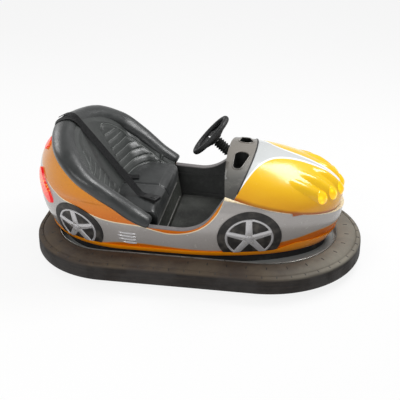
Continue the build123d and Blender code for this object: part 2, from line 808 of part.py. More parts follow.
motor_near = fork_gap + FORK_PLATE
with BuildPart() as drive_motor:
    with BuildSketch(Plane.XZ.offset(motor_near)):
        with Locations((DRIVE_X, DRIVE_WHEEL_RADIUS + 20)):
            Circle(MOTOR_RADIUS)
    extrude(amount=MOTOR_LENGTH)
    with BuildSketch(Plane.XZ.offset(motor_near + MOTOR_LENGTH)):
        with Locations((DRIVE_X, DRIVE_WHEEL_RADIUS + 20)):
            Circle(MOTOR_RADIUS - 10)
    extrude(amount=10)
    with BuildSketch(Plane.XZ.offset(motor_near)):
        with Locations((DRIVE_X, DRIVE_WHEEL_RADIUS)):
            Circle(14 + 2)
    extrude(amount=16, mode=Mode.SUBTRACT)
finish("drive_motor", drive_motor.part)

with BuildPart() as drive_tyre:
    with BuildSketch(Plane.XZ):
        with Locations((DRIVE_X, DRIVE_WHEEL_RADIUS)):
            Circle(DRIVE_WHEEL_RADIUS)
    extrude(amount=DRIVE_WHEEL_WIDTH / 2, both=True)
    fillet(drive_tyre.edges(), 8)
    with BuildSketch(Plane.XZ):
        with Locations((DRIVE_X, DRIVE_WHEEL_RADIUS)):
            Circle(74)
    extrude(amount=DRIVE_WHEEL_WIDTH, both=True, mode=Mode.SUBTRACT)
finish("drive_tyre", drive_tyre.part)

with BuildPart() as drive_hub:
    with BuildSketch(Plane.XZ):
        with Locations((DRIVE_X, DRIVE_WHEEL_RADIUS)):
            Circle(74)
    extrude(amount=DRIVE_WHEEL_WIDTH / 2 - 6, both=True)
    with BuildSketch(Plane.XZ):
        with Locations((DRIVE_X, DRIVE_WHEEL_RADIUS)):
            Circle(14)
    extrude(amount=fork_gap + FORK_PLATE + 3, both=True)
finish("drive_hub", drive_hub.part)

# Portal over the turret, with cheeks that hold the lower end of the column
BRIDGE_REACH = 204
LEG = 8
clamp = column.offset(500)
JACKET_END = 520
with BuildPart() as drive_bridge:
    with BuildSketch(Plane.XY.offset(BRIDGE_BOTTOM)):
        with Locations((DRIVE_X - 25, 0)):
            Rectangle(130, 2 * BRIDGE_REACH)
        with Locations((DRIVE_X, 0)):
            Circle(KINGPIN_RADIUS + SEAM, mode=Mode.SUBTRACT)
    extrude(amount=BRIDGE_THICKNESS)
    for side in (-1, 1):
        with Locations((DRIVE_X - 25, side * (BRIDGE_REACH - LEG / 2), (BRIDGE_BOTTOM + DECK_TOP) / 2)):
            Box(130, LEG, BRIDGE_BOTTOM - DECK_TOP)
        with Locations((DRIVE_X - 25, side * (BRIDGE_REACH + 16), DECK_TOP + 3)):
            Box(130, 40, 6)
        with BuildSketch(Plane.XZ.offset(-side * 44)):
            Polygon((432, 270), (484, 270), (462, 408), (408, 440), (404, 404), align=None)
        extrude(amount=4, both=True)
    with BuildSketch(column.offset(486)):
        Rectangle(96, 46)
        Circle(JACKET_RADIUS, mode=Mode.SUBTRACT)
    extrude(amount=28)
finish("drive_bridge", drive_bridge.part)

# ---------------------------------------------------------------- steering
with BuildPart() as column_jacket:
    with BuildSketch(column.offset(60)):
        Circle(JACKET_RADIUS)
        Circle(SHAFT_RADIUS + 2, mode=Mode.SUBTRACT)
    extrude(amount=JACKET_END - 60)
finish("column_jacket", column_jacket.part)

joint_run = (DRIVE_X - WHEEL_CENTRE[0]) / cos(radians(COLUMN_DROP))
with BuildPart() as steering_shaft:
    with BuildSketch(column.offset(20)):
        Circle(SHAFT_RADIUS)
    extrude(amount=joint_run - 20)
    with Locations((DRIVE_X, 0, joint_height)):
        Sphere(BALL_RADIUS)
finish("steering_shaft", steering_shaft.part)

BOOT_START = 52
BOOT_END = 146
BOOT_RIBS = 6
pitch = (BOOT_END - BOOT_START) / BOOT_RIBS
with BuildPart() as steering_boot:
    for rib in range(BOOT_RIBS):
        start = BOOT_START + rib * pitch
        with Locations(column.offset(start).location):
            Cone(24, BOOT_RADIUS, pitch / 2, align=(Align.CENTER, Align.CENTER, Align.MIN))
        with Locations(column.offset(start + pitch / 2).location):
            Cone(BOOT_RADIUS, 24, pitch / 2, align=(Align.CENTER, Align.CENTER, Align.MIN))
    with BuildSketch(column.offset(BOOT_START)):
        Circle(JACKET_RADIUS + SEAM)
    extrude(amount=BOOT_END - BOOT_START, mode=Mode.SUBTRACT)
finish("steering_boot", steering_boot.part)

HUB_DROP = 14
with BuildPart() as steering_wheel:
    with Locations(column.location):
        Torus(STEERING_WHEEL_RADIUS, STEERING_RIM)
    with BuildSketch(column.offset(HUB_DROP)):
        Circle(42)
    extrude(amount=30)
    for turn in (90, 210, 330):
        spoke_end = column.from_local_coords(
            Vector(STEERING_WHEEL_RADIUS * cos(radians(turn)), STEERING_WHEEL_RADIUS * sin(radians(turn)), 0)
        )
        spoke_root = column.from_local_coords(
            Vector(20 * cos(radians(turn)), 20 * sin(radians(turn)), HUB_DROP + 15)
        )
        reach = spoke_end - spoke_root
        across = column_axis.cross(reach)
        with BuildSketch(Plane(origin=spoke_root, x_dir=across, z_dir=reach)):
            RectangleRounded(34, 10, 4)
        with BuildSketch(Plane(origin=spoke_end, x_dir=across, z_dir=reach)):
            RectangleRounded(24, 10, 4)
        loft()
    with BuildSketch(column.offset(HUB_DROP + 6)):
        Circle(SHAFT_RADIUS)
    extrude(amount=60, mode=Mode.SUBTRACT)
finish("steering_wheel", steering_wheel.part)

# ---------------------------------------------------------------- pedal and harness
pedal_foot = FLOOR_TOP + SEAM
with BuildPart() as accelerator_pedal:
    with BuildSketch(Plane.XZ.offset(40)):
        Polygon((238, pedal_foot), (252, pedal_foot), (308, 236), (296, 240), align=None)
        Polygon((286, pedal_foot), (310, pedal_foot), (310, 226), (298, 226), align=None)
    extrude(amount=-90)
finish("accelerator_pedal", accelerator_pedal.part)

STRAP_WIDTH = 48
STRAP_THICKNESS = 2.4
BUCKLE_SIZE = (92, 62, 20)
ANCHOR = (-716, 0)
PAD_TOP = 822.4
PAD_BREADTH = 94


def ribbon(name, foot, rise, rest):
    """Webbing from the top of the pad down to a foot, bent in the upright plane through both.

    It ends in a level stretch of the given length. Returns its plane and its end on that plane.
    """
    run = Vector(foot[0] - ANCHOR[0], foot[1] - ANCHOR[1], 0)
    plane = Plane(origin=(*ANCHOR, 0), x_dir=run, z_dir=run.cross(Vector(0, 0, 1)))
    top = PAD_TOP + rise
    with BuildPart() as strap:
        with BuildSketch(plane):
            with BuildLine():
                FilletPolyline(
                    (-38, top),
                    (PAD_BREADTH, top),
                    (run.length - rest, foot[2]),
                    (run.length, foot[2]),
                    radius=(30, 0.6 * rest),
                )
                offset(amount=STRAP_THICKNESS, side=Side.LEFT)
            make_face()
        extrude(amount=STRAP_WIDTH / 2, both=True)
    finish(name, strap.part)
    return plane, (run.length, foot[2])


buckle_middle = SEAT_HEIGHT + SEAM + BUCKLE_SIZE[2] / 2
plane, end = ribbon("harness_strap_outer", (-292, -190, buckle_middle), 7, 40)
with BuildPart() as harness_buckle:
    with BuildSketch(plane):
        with Locations((end[0] + SEAM + BUCKLE_SIZE[0] / 2, end[1])):
            RectangleRounded(BUCKLE_SIZE[0], BUCKLE_SIZE[2], 6)
    extrude(amount=BUCKLE_SIZE[1] / 2, both=True)
finish("harness_buckle", harness_buckle.part)

ribbon("harness_strap_inner", (-395, 66, SEAT_HEIGHT + SEAM), 0, 60)
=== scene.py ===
"""Looks of the bumper car: paint, upholstery, harness, lamps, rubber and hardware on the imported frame.

Metres. +X is forward, +Y the car's left and +Z up.
"""
import json
import math

import bmesh
import bpy
import numpy as np
from mathutils import Matrix, Vector
from mathutils.bvhtree import BVHTree


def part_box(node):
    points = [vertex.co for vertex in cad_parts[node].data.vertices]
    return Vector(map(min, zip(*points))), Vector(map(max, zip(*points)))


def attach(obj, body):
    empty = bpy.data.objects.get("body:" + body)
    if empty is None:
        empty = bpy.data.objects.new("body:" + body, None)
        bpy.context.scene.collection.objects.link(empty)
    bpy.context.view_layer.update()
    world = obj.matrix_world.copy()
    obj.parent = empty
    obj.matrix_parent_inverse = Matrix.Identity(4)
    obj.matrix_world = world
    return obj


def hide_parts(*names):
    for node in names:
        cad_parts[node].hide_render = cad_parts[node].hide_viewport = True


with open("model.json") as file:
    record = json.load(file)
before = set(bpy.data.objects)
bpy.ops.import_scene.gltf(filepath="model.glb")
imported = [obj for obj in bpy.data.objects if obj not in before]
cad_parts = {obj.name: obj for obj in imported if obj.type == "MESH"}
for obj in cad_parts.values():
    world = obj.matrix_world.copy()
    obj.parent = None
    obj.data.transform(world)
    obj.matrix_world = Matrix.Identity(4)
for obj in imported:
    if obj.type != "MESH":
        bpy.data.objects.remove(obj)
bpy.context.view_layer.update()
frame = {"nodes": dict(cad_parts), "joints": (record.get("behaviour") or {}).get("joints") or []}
scene = bpy.context.scene
UP = Vector((0, 0, 1))
LEFT = Vector((0, 1, 0))


# ---------------------------------------------------------------- materials
def tone(red, green, blue):
    """Linear colour of the 0-255 values that it looks like on a screen."""
    return tuple(((part / 255 + 0.055) / 1.055) ** 2.4 for part in (red, green, blue))


def darker(colour, share):
    return tuple(part * share for part in colour)


class Graph:
    """Short calls for the nodes of a tree."""

    def __init__(self, tree):
        self.tree = tree

    def node(self, kind, inputs=None, **settings):
        made = self.tree.nodes.new(kind)
        for name, value in settings.items():
            setattr(made, name, value)
        for socket, value in (inputs or {}).items():
            self.feed(made.inputs[socket], value)
        return made

    def feed(self, socket, value):
        if isinstance(value, bpy.types.NodeSocket):
            self.tree.links.new(value, socket)
        else:
            socket.default_value = value

    def calc(self, operation, *values):
        return self.node("ShaderNodeMath", dict(enumerate(values)), operation=operation).outputs[0]

    def seen_by(self, *kinds):
        """1 for two kinds of ray, 0 for the others."""
        rays = self.node("ShaderNodeLightPath").outputs
        return self.calc("MAXIMUM", *(rays[f"Is {kind} Ray"] for kind in kinds))


class Finish(Graph):
    """A Principled material and the looks that feed it."""

    def __init__(self, name, colour, roughness, **fixed):
        self.material = bpy.data.materials.new(name)
        self.material.use_nodes = True
        super().__init__(self.material.node_tree)
        self.shader = self.tree.nodes["Principled BSDF"]
        self.shader.inputs["Base Color"].default_value = (*colour, 1)
        self.shader.inputs["Roughness"].default_value = roughness
        for socket, value in fixed.items():
            self.shader.inputs[socket.replace("_", " ").title().replace("Ior", "IOR")].default_value = value
        self.place = self.node("ShaderNodeTexCoord").outputs["Object"]
        self.normal = None

    def axis(self, name):
        return self.node("ShaderNodeSeparateXYZ", {0: self.place}).outputs[name]

    def stretched(self, x, y, z):
        return self.node("ShaderNodeMapping", {"Vector": self.place, "Scale": (x, y, z)}).outputs[0]

    def noise(self, scale, detail=3.0, roughness=0.5, place=None):
        inputs = {"Vector": place or self.place, "Scale": scale, "Detail": detail, "Roughness": roughness}
        return self.node("ShaderNodeTexNoise", inputs).outputs[0]

    def cells(self, scale, feature="F1", place=None):
        inputs = {"Vector": place or self.place, "Scale": scale}
        return self.node("ShaderNodeTexVoronoi", inputs, feature=feature).outputs["Distance"]

    def band(self, value, low, high, start=0.0, end=1.0, kind="SMOOTHSTEP"):
        inputs = {"Value": value, "From Min": low, "From Max": high, "To Min": start, "To Max": end}
        return self.node("ShaderNodeMapRange", inputs, interpolation_type=kind).outputs[0]

    def curve(self, value, points):
        """Height read off a drawn line: points are (position, height) in metres."""
        low, high = points[0][0], points[-1][0]
        graph = self.node("ShaderNodeFloatCurve", {"Value": self.band(value, low, high, kind="LINEAR")})
        line = graph.mapping.curves[0]
        line.points[0].location = (0, points[0][1])
        line.points[-1].location = (1, points[-1][1])
        for position, height in points[1:-1]:
            line.points.new((position - low) / (high - low), height)
        graph.mapping.update()
        return graph.outputs[0]

    def mix(self, factor, below, above, mode="MIX"):
        inputs = {0: factor, 6: self.full(below), 7: self.full(above)}
        return self.node("ShaderNodeMix", inputs, data_type="RGBA", blend_type=mode).outputs[2]

    def veil(self, mask, amount, below, above):
        """One colour laid thinly over another where a mask is 1."""
        return self.mix(self.calc("MULTIPLY", mask, amount), below, above)

    def full(self, colour):
        return colour if isinstance(colour, bpy.types.NodeSocket) else (*colour, 1)

    def colour(self, value):
        self.feed(self.shader.inputs["Base Color"], value)

    def gloss(self, value):
        self.feed(self.shader.inputs["Roughness"], value)

    def relief(self, height, depth, strength=1.0):
        """Bump of a real depth, on top of the bumps so far."""
        bump = self.node("ShaderNodeBump", {"Height": height, "Distance": depth, "Strength": strength})
        if self.normal:
            self.feed(bump.inputs["Normal"], self.normal)
        self.normal = bump.outputs["Normal"]
        self.feed(self.shader.inputs["Normal"], self.normal)


# Silver with a slight warm tint: the grey is the paint's own, the warm tint is a painted reddish reflection.
SILVER = tone(155, 149, 145)
ORANGE = tone(208, 104, 2)
YELLOW = tone(248, 200, 8)
DEEP_YELLOW = tone(218, 146, 0)
CREAM = tone(240, 224, 186)
SOFT_EDGE = 0.0006  # half width of the blend between two paints
COAT_ROUGHNESS = 0.16

# Lower edge of the orange band on the body's side, and top of the orange stripe at its foot: x, z
BAND_EDGE = (
    (-0.95, 0.640), (-0.888, 0.577), (-0.862, 0.543), (-0.832, 0.519), (-0.790, 0.486),
    (-0.740, 0.455), (-0.651, 0.435), (-0.595, 0.412), (-0.527, 0.386), (-0.433, 0.366),
    (-0.353, 0.358), (-0.273, 0.350), (-0.221, 0.336), (-0.169, 0.321), (-0.104, 0.310),
    (-0.037, 0.316), (0.029, 0.336), (0.096, 0.377), (0.148, 0.432), (0.184, 0.487),
    (0.205, 0.545), (0.230, 0.620), (0.95, 0.640),
)
FOOT_EDGE = (
    (-0.95, 0.180), (-0.515, 0.198), (-0.421, 0.216), (-0.284, 0.221), (-0.150, 0.214),
    (-0.043, 0.208), (0.063, 0.203), (0.167, 0.203), (0.300, 0.212), (0.430, 0.232),
    (0.526, 0.251), (0.627, 0.270), (0.677, 0.282), (0.726, 0.290), (0.780, 0.292), (0.95, 0.294),
)
# Height of the bonnet's foot over the origin, and its fall towards the nose
BELT_HEIGHT = 0.5976
BELT_FALL = 0.258
# Half width of the bonnet's silver band: x, y
BONNET_BAND = (
    (0.20, 0.480), (0.257, 0.390), (0.283, 0.346), (0.306, 0.305), (0.328, 0.262),
    (0.350, 0.217), (0.373, 0.175), (0.398, 0.140), (0.430, 0.104), (0.476, 0.074),
    (0.532, 0.053), (0.589, 0.041), (0.650, 0.033), (0.707, 0.026), (0.766, 0.021), (0.88, 0.016),
)


def clear_coat(finish):
    """Light scuffs, orange peel and uneven gloss of a lacquered moulding."""
    scuffs = finish.noise(38, 6, 0.62)
    finish.gloss(finish.band(scuffs, 0.35, 0.8, 0.2, 0.3))
    finish.relief(finish.noise(90, 1), 0.00008)


def flake(finish, base):
    """Metallic flake over a base colour."""
    glint = finish.band(finish.cells(1400), 0.15, 0.6, 0.0, 0.25)
    cloud = finish.band(finish.noise(3.2, 2), 0.3, 0.7, 0.0, 0.16)
    pale = finish.mix(glint, base, tone(226, 226, 226))
    return finish.mix(cloud, pale, darker(base, 0.7))


def body_paint():
    """Silver sides, an orange band under the upholstery and along the sill, and an orange foot."""
    finish = Finish("body_paint", SILVER, 0.3, metallic=0.2, coat_weight=0.3, coat_roughness=COAT_ROUGHNESS,
                    specular_ior_level=0.3)
    x, z = finish.axis("X"), finish.axis("Z")
    above = finish.calc("SUBTRACT", z, finish.curve(x, BAND_EDGE))
    below = finish.calc("SUBTRACT", finish.curve(x, FOOT_EDGE), z)
    shade = finish.band(z, 0.3, 0.62)
    orange = finish.mix(shade, ORANGE, tone(212, 134, 4))
    colour = finish.mix(finish.band(above, -SOFT_EDGE, SOFT_EDGE), flake(finish, SILVER), orange)
    line = finish.band(finish.calc("ABSOLUTE", above), 0.0042, 0.0028)
    colour = finish.mix(line, colour, CREAM)
    colour = finish.mix(finish.band(below, -SOFT_EDGE, SOFT_EDGE), colour, ORANGE)
    line = finish.band(finish.calc("ABSOLUTE", below), 0.0036, 0.0024)
    finish.colour(finish.mix(line, colour, tone(196, 150, 96)))
    clear_coat(finish)
    return finish


def bonnet_paint():
    """Yellow leaves either side of a silver band with white edges, darker down at the belt, with painted
    shade in the crease just over it.
    """
    finish = Finish("bonnet_paint", YELLOW, 0.3, coat_weight=0.5, coat_roughness=COAT_ROUGHNESS,
                    specular_ior_level=0.35)
    x, y, z = (finish.axis(name) for name in "XYZ")
    apart = finish.calc("SUBTRACT", finish.calc("ABSOLUTE", y), finish.curve(x, BONNET_BAND))
    belt = finish.calc("SUBTRACT", BELT_HEIGHT, finish.calc("MULTIPLY", x, BELT_FALL))
    over = finish.calc("SUBTRACT", z, belt)
    yellow = finish.mix(finish.band(over, 0.0, 0.17), DEEP_YELLOW, YELLOW)
    # Painted shade in the crease at the bonnet's foot: dark brown within about 2 cm of the belt.
    yellow = finish.mix(finish.band(over, 0.022, 0.004), yellow, tone(150, 66, 10))
    mottled = finish.veil(finish.band(finish.noise(4, 3), 0.35, 0.75), 0.25, yellow, tone(250, 208, 40))
    colour = finish.mix(finish.band(apart, -0.0008, 0.0008), flake(finish, tone(202, 206, 206)), mottled)
    edge = finish.calc("ABSOLUTE", finish.calc("ADD", apart, 0.010))
    finish.colour(finish.mix(finish.band(edge, 0.0115, 0.0085), colour, tone(248, 248, 246)))
    clear_coat(finish)
    return finish


def orange_paint():
    finish = Finish("orange_paint", ORANGE, 0.3, coat_weight=0.3, coat_roughness=COAT_ROUGHNESS,
                    specular_ior_level=0.3)
    wear = finish.band(finish.noise(26, 5, 0.6), 0.58, 0.72)
    # Darker towards the bottom of the skirt.
    lower_darkening = finish.band(finish.axis("Z"), 0.2, 0.172, 0.0, 0.45)
    colour = finish.veil(wear, 0.3, tone(250, 150, 4), tone(200, 104, 4))
    finish.colour(finish.mix(lower_darkening, colour, tone(112, 70, 26)))
    clear_coat(finish)
    return finish


def plain_silver(name, base):
    finish = Finish(name, base, 0.32, metallic=0.3, coat_weight=0.5, coat_roughness=0.15)
    finish.colour(flake(finish, base))
    clear_coat(finish)
    return finish


def cream_trim():
    finish = Finish("cream_trim", CREAM, 0.35, coat_weight=0.4)
    finish.colour(finish.mix(finish.band(finish.noise(60, 4), 0.4, 0.75), CREAM, tone(205, 186, 150)))
    finish.relief(finish.noise(300, 2), 0.0002)
    return finish


def vinyl(name, base, worn, wrinkle):
    """Coated upholstery cloth: pebble grain, soft creases, and a paler bloom where it is rubbed."""
    finish = Finish(name, base, 0.38, sheen_weight=0.1, sheen_roughness=0.5, coat_weight=0.3,
                    coat_roughness=0.3)
    bloom = finish.band(finish.noise(9, 5, 0.6), 0.42, 0.72, 0.0, 0.55)
    finish.colour(finish.mix(bloom, base, worn))
    finish.gloss(finish.band(finish.noise(30, 4), 0.3, 0.75, 0.3, 0.46))
    finish.relief(finish.noise(14, 3, 0.55, finish.stretched(1, 1.6, 1)), wrinkle, 0.55)
    finish.relief(finish.cells(620, "SMOOTH_F1"), 0.00035, 0.8)
    return finish


def grained(name, base, worn, roughness, scale=900, depth=0.0003):
    """Moulded plastic with a fine leather grain and paler rubbed patches."""
    finish = Finish(name, base, roughness)
    rubbed = finish.band(finish.noise(17, 6, 0.65), 0.5, 0.75)
    finish.colour(finish.veil(rubbed, 0.6, base, worn))
    finish.gloss(finish.band(finish.noise(44, 4), 0.3, 0.7, roughness - 0.1, roughness + 0.12))
    finish.relief(finish.cells(scale), depth)
    return finish


def cowl_plastic():
    """Glossy grained plastic of the cowl: a painted highlight makes it paler on its crown, and it is darker
    down its flanks.
    """
    finish = Finish("dash_grey", tone(100, 98, 94), 0.36, coat_weight=0.3, coat_roughness=0.2)
    z = finish.axis("Z")
    # Painted highlight: paler up on the crown, darkening lower down towards the flanks.
    crown = finish.mix(finish.band(z, 0.60, 0.72), tone(92, 92, 88), tone(140, 134, 126))
    flank = finish.mix(finish.band(z, 0.46, 0.69), tone(36, 33, 30), crown)
    rubbed = finish.band(finish.noise(17, 6, 0.65), 0.5, 0.75)
    finish.colour(finish.veil(rubbed, 0.3, flank, tone(150, 146, 138)))
    finish.gloss(finish.band(finish.noise(44, 4), 0.3, 0.7, 0.28, 0.44))
    finish.relief(finish.cells(900), 0.0002)
    return finish


def bumper_rubber():
    """Dusty brown-grey rubber, darker down its side, with drag streaks and nicks."""
    finish = Finish("bumper_rubber", tone(98, 90, 80), 0.78)
    z = finish.axis("Z")
    dust = finish.band(finish.noise(5.5, 6, 0.62), 0.36, 0.68)
    ahead = finish.calc("MULTIPLY", finish.band(finish.axis("X"), 0.35, 0.95), 0.75)
    worn = finish.mix(ahead, finish.mix(dust, tone(58, 46, 36), tone(86, 74, 60)), tone(122, 117, 106))
    top = finish.veil(dust, ahead, worn, tone(134, 130, 119))
    streak = finish.band(finish.noise(3, 5, 0.7, finish.stretched(2, 2, 26)), 0.4, 0.72)
    side = finish.mix(streak, tone(23, 18, 15), tone(40, 33, 28))
    colour = finish.mix(finish.band(z, 0.126, 0.146), side, top)
    nick = finish.band(finish.cells(55), 0.10, 0.04)
    finish.colour(finish.veil(nick, 0.5, colour, tone(44, 39, 36)))
    finish.gloss(finish.band(dust, 0, 1, 0.66, 0.88))
    finish.relief(finish.noise(70, 5, 0.6), 0.0008)
    finish.relief(finish.noise(420, 3), 0.0003)
    return finish


def rubber(name, base, roughness=0.7):
    finish = Finish(name, base, roughness)
    finish.colour(finish.mix(finish.band(finish.noise(22, 5), 0.4, 0.75), base, tone(70, 66, 62)))
    finish.relief(finish.noise(340, 3), 0.0003)
    return finish


def enamel(name, base):
    """Painted steel plate: brush-flat paint with scuffs down to the primer."""
    finish = Finish(name, base, 0.5, metallic=0.1, coat_weight=0.15)
    scuff = finish.band(finish.noise(21, 7, 0.68), 0.6, 0.68)
    cloud = finish.band(finish.noise(4, 3), 0.35, 0.7)
    colour = finish.veil(cloud, 0.4, base, darker(base, 0.7))
    finish.colour(finish.veil(scuff, 0.55, colour, tone(96, 88, 80)))
    finish.gloss(finish.band(scuff, 0, 1, 0.42, 0.66))
    finish.relief(finish.noise(130, 4), 0.0003)
    return finish


def metal(name, base, roughness, grain):
    """Bare metal with fine drawn or cast grain."""
    finish = Finish(name, base, roughness, metallic=0.9)
    finish.gloss(finish.band(finish.noise(60, 6, 0.6), 0.3, 0.75, roughness - 0.1, roughness + 0.18))
    dull = finish.band(finish.noise(11, 5), 0.45, 0.75)
    finish.colour(finish.mix(dull, base, darker(base, 0.55)))
    finish.relief(finish.noise(grain, 3), 0.0002)
    return finish


def speckle():
    """Hard-wearing floor coating with pale chips in it."""
    finish = Finish("floor_speckle", tone(46, 47, 44), 0.62)
    chips = finish.band(finish.cells(210), 0.26, 0.16)
    keep = finish.band(finish.noise(95, 1), 0.46, 0.54)
    grime = finish.band(finish.noise(7, 5), 0.35, 0.7)
    base = finish.mix(grime, tone(34, 35, 33), tone(64, 66, 62))
    finish.colour(finish.veil(chips, keep, base, tone(140, 140, 134)))
    finish.relief(chips, 0.0006)
    return finish


def lens(name, base, glow, core, strength, clusters):
    """Ribbed coloured lens, lit from behind with a brighter core."""
    finish = Finish(name, base, 0.16, coat_weight=0.3, specular_ior_level=0.3, emission_strength=strength)
    spots = finish.band(finish.cells(clusters), 0.7, 0.15)
    patch = finish.band(finish.noise(9, 1), 0.34, 0.62)
    lit = finish.veil(spots, patch, glow, core)
    finish.feed(finish.shader.inputs["Emission Color"], lit)
    finish.relief(finish.noise(150, 1, 0.5, finish.stretched(0.3, 3, 1)), 0.0006)
    return finish


def webbing():
    """Herringbone seat-belt webbing: u runs along the strap and v across it, both in metres."""
    finish = Finish("webbing", tone(20, 20, 21), 0.6, sheen_weight=0.04, specular_ior_level=0.25)
    finish.place = finish.node("ShaderNodeTexCoord").outputs["UV"]
    along, across = finish.axis("X"), finish.axis("Y")
    slant = finish.calc("PINGPONG", across, 0.004)
    twill = finish.calc("SINE", finish.calc("MULTIPLY", finish.calc("ADD", along, slant), 2600.0))
    rib = finish.calc("SINE", finish.calc("MULTIPLY", across, 2100.0))
    weave = finish.calc("ADD", finish.band(twill, -1, 1), finish.band(rib, -1, 1))
    finish.colour(finish.mix(finish.band(weave, 0.4, 1.8), tone(5, 5, 6), tone(22, 23, 25)))
    finish.relief(weave, 0.0005)
    return finish


finishes = {
    "bumper_rubber": bumper_rubber(),
    "body_silver": body_paint(),
    "body_orange": orange_paint(),
    "bonnet_yellow": bonnet_paint(),
    "dash_grey": cowl_plastic(),
    "floor_speckle": speckle(),
    "webbing": webbing(),
    "cream_trim": cream_trim(),
}
# The other finishes, by what makes them: name, 0-255 colours, then numbers
FAMILIES = (
    (metal, (("steel", (170, 168, 164), 0.36, 500), ("cast", (140, 140, 138), 0.5, 220))),
    (enamel, (
        ("deck_paint", (146, 149, 147)), ("chassis_paint", (52, 54, 58)), ("motor_paint", (44, 66, 92)),
    )),
    (plain_silver, (("silver_trim", (184, 182, 184)),)),
    (rubber, (("tyre_black", (26, 24, 23), 0.6), ("tyre", (34, 33, 32)))),
    (lens, (
        ("lamp_yellow", (200, 150, 2), (236, 178, 0), (255, 248, 40), 0.8, 34),
        ("lamp_red", (120, 2, 5), (220, 10, 22), (255, 178, 52), 0.9, 95),
    )),
    (grained, (
        ("black_plastic", (30, 30, 31), (66, 66, 66), 0.48),
        ("liner_black", (27, 29, 27), (48, 50, 48), 0.5),
        ("kick_grey", (62, 64, 60), (94, 97, 91), 0.46),
        ("battery_case", (36, 37, 40), (70, 70, 72), 0.5, 300, 0.0005),
        ("wheel_rubber", (11, 12, 13), (32, 33, 34), 0.5, 700, 0.0005),
        ("ledge_grey", (116, 112, 112), (150, 146, 144), 0.45),
    )),
    (vinyl, (
        ("seat_vinyl", (31, 34, 34), (52, 55, 54), 0.001),
        # Piping beads along the quilting's seams: the beads are real, their pale tone is a painted highlight
        # on the seams.
        ("piping_vinyl", (112, 116, 113), (140, 143, 140), 0.0003),
        ("tail_vinyl", (40, 44, 42), (60, 64, 62), 0.0008),
    )),
)
for family, members in FAMILIES:
    for name, *settings in members:
        settings = [tone(*part) if isinstance(part, tuple) else part for part in settings]
        finishes[name] = family(name, *settings)
# CAD nodes that don't take the finish of their slot
OWN_FINISH = {"sill_ledge": "ledge_grey", "belt_trim": "cream_trim", "seat_base": "kick_grey"}
for name, node in frame["nodes"].items():
    slot = node.data.materials[0].name.split(".")[0]
    node.data.materials[0] = finishes[OWN_FINISH.get(name, slot)].material


# ---------------------------------------------------------------- mesh building
def search_tree(*meshes):
    """Search tree over the faces of some meshes."""
    points, faces = [], []
    for mesh in meshes:
        start = len(points)
        points += [vertex.co.copy() for vertex in mesh.vertices]
        faces += [[start + corner for corner in face.vertices] for face in mesh.polygons]
    return BVHTree.FromPolygons(points, faces)


def skin(*nodes):
    """Search tree over some CAD nodes."""
    return search_tree(*(frame["nodes"][name].data for name in nodes))


def linked(name, data):
    """New object in the scene."""
    made = bpy.data.objects.new(name, data)
    scene.collection.objects.link(made)
    return made


def loose_copy(node):
    """Copy of a CAD node to work on."""
    work = frame["nodes"][node].copy()
    work.data = work.data.copy()
    work.parent = None
    scene.collection.objects.link(work)
    return work


def reworked(mesh, change):
    """Puts a mesh through one bmesh change."""
    form = bmesh.new()
    form.from_mesh(mesh)
    change(form)
    form.to_mesh(mesh)
    form.free()


def outward(form):
    bmesh.ops.recalc_face_normals(form, faces=form.faces)


def turns(count, offset=0):
    """Angles spread evenly round a circle."""
    return [math.tau * (step + offset) / count for step in range(count)]


def polar(angle, radius=1.0, height=0.0):
    """Point round Z."""
    return Vector((radius * math.cos(angle), radius * math.sin(angle), height))


def rolled(angle, radius=1.0, y=0.0):
    """Point round Y, the wheels' axis."""
    return Vector((radius * math.cos(angle), y, radius * math.sin(angle)))


def clamp(value):
    return min(1, max(0, value))


def facing(middle, normal, along=UP):
    """Frame at a point with Z on the normal and X as near as it can be to a direction."""
    z = Vector(normal).normalized()
    x = Vector(along) - Vector(along).dot(z) * z
    if x.length < 1e-4:
        x = z.orthogonal()
    x.normalize()
    turned = Matrix((x, z.cross(x), z)).transposed().to_4x4()
    return Matrix.Translation(middle) @ turned


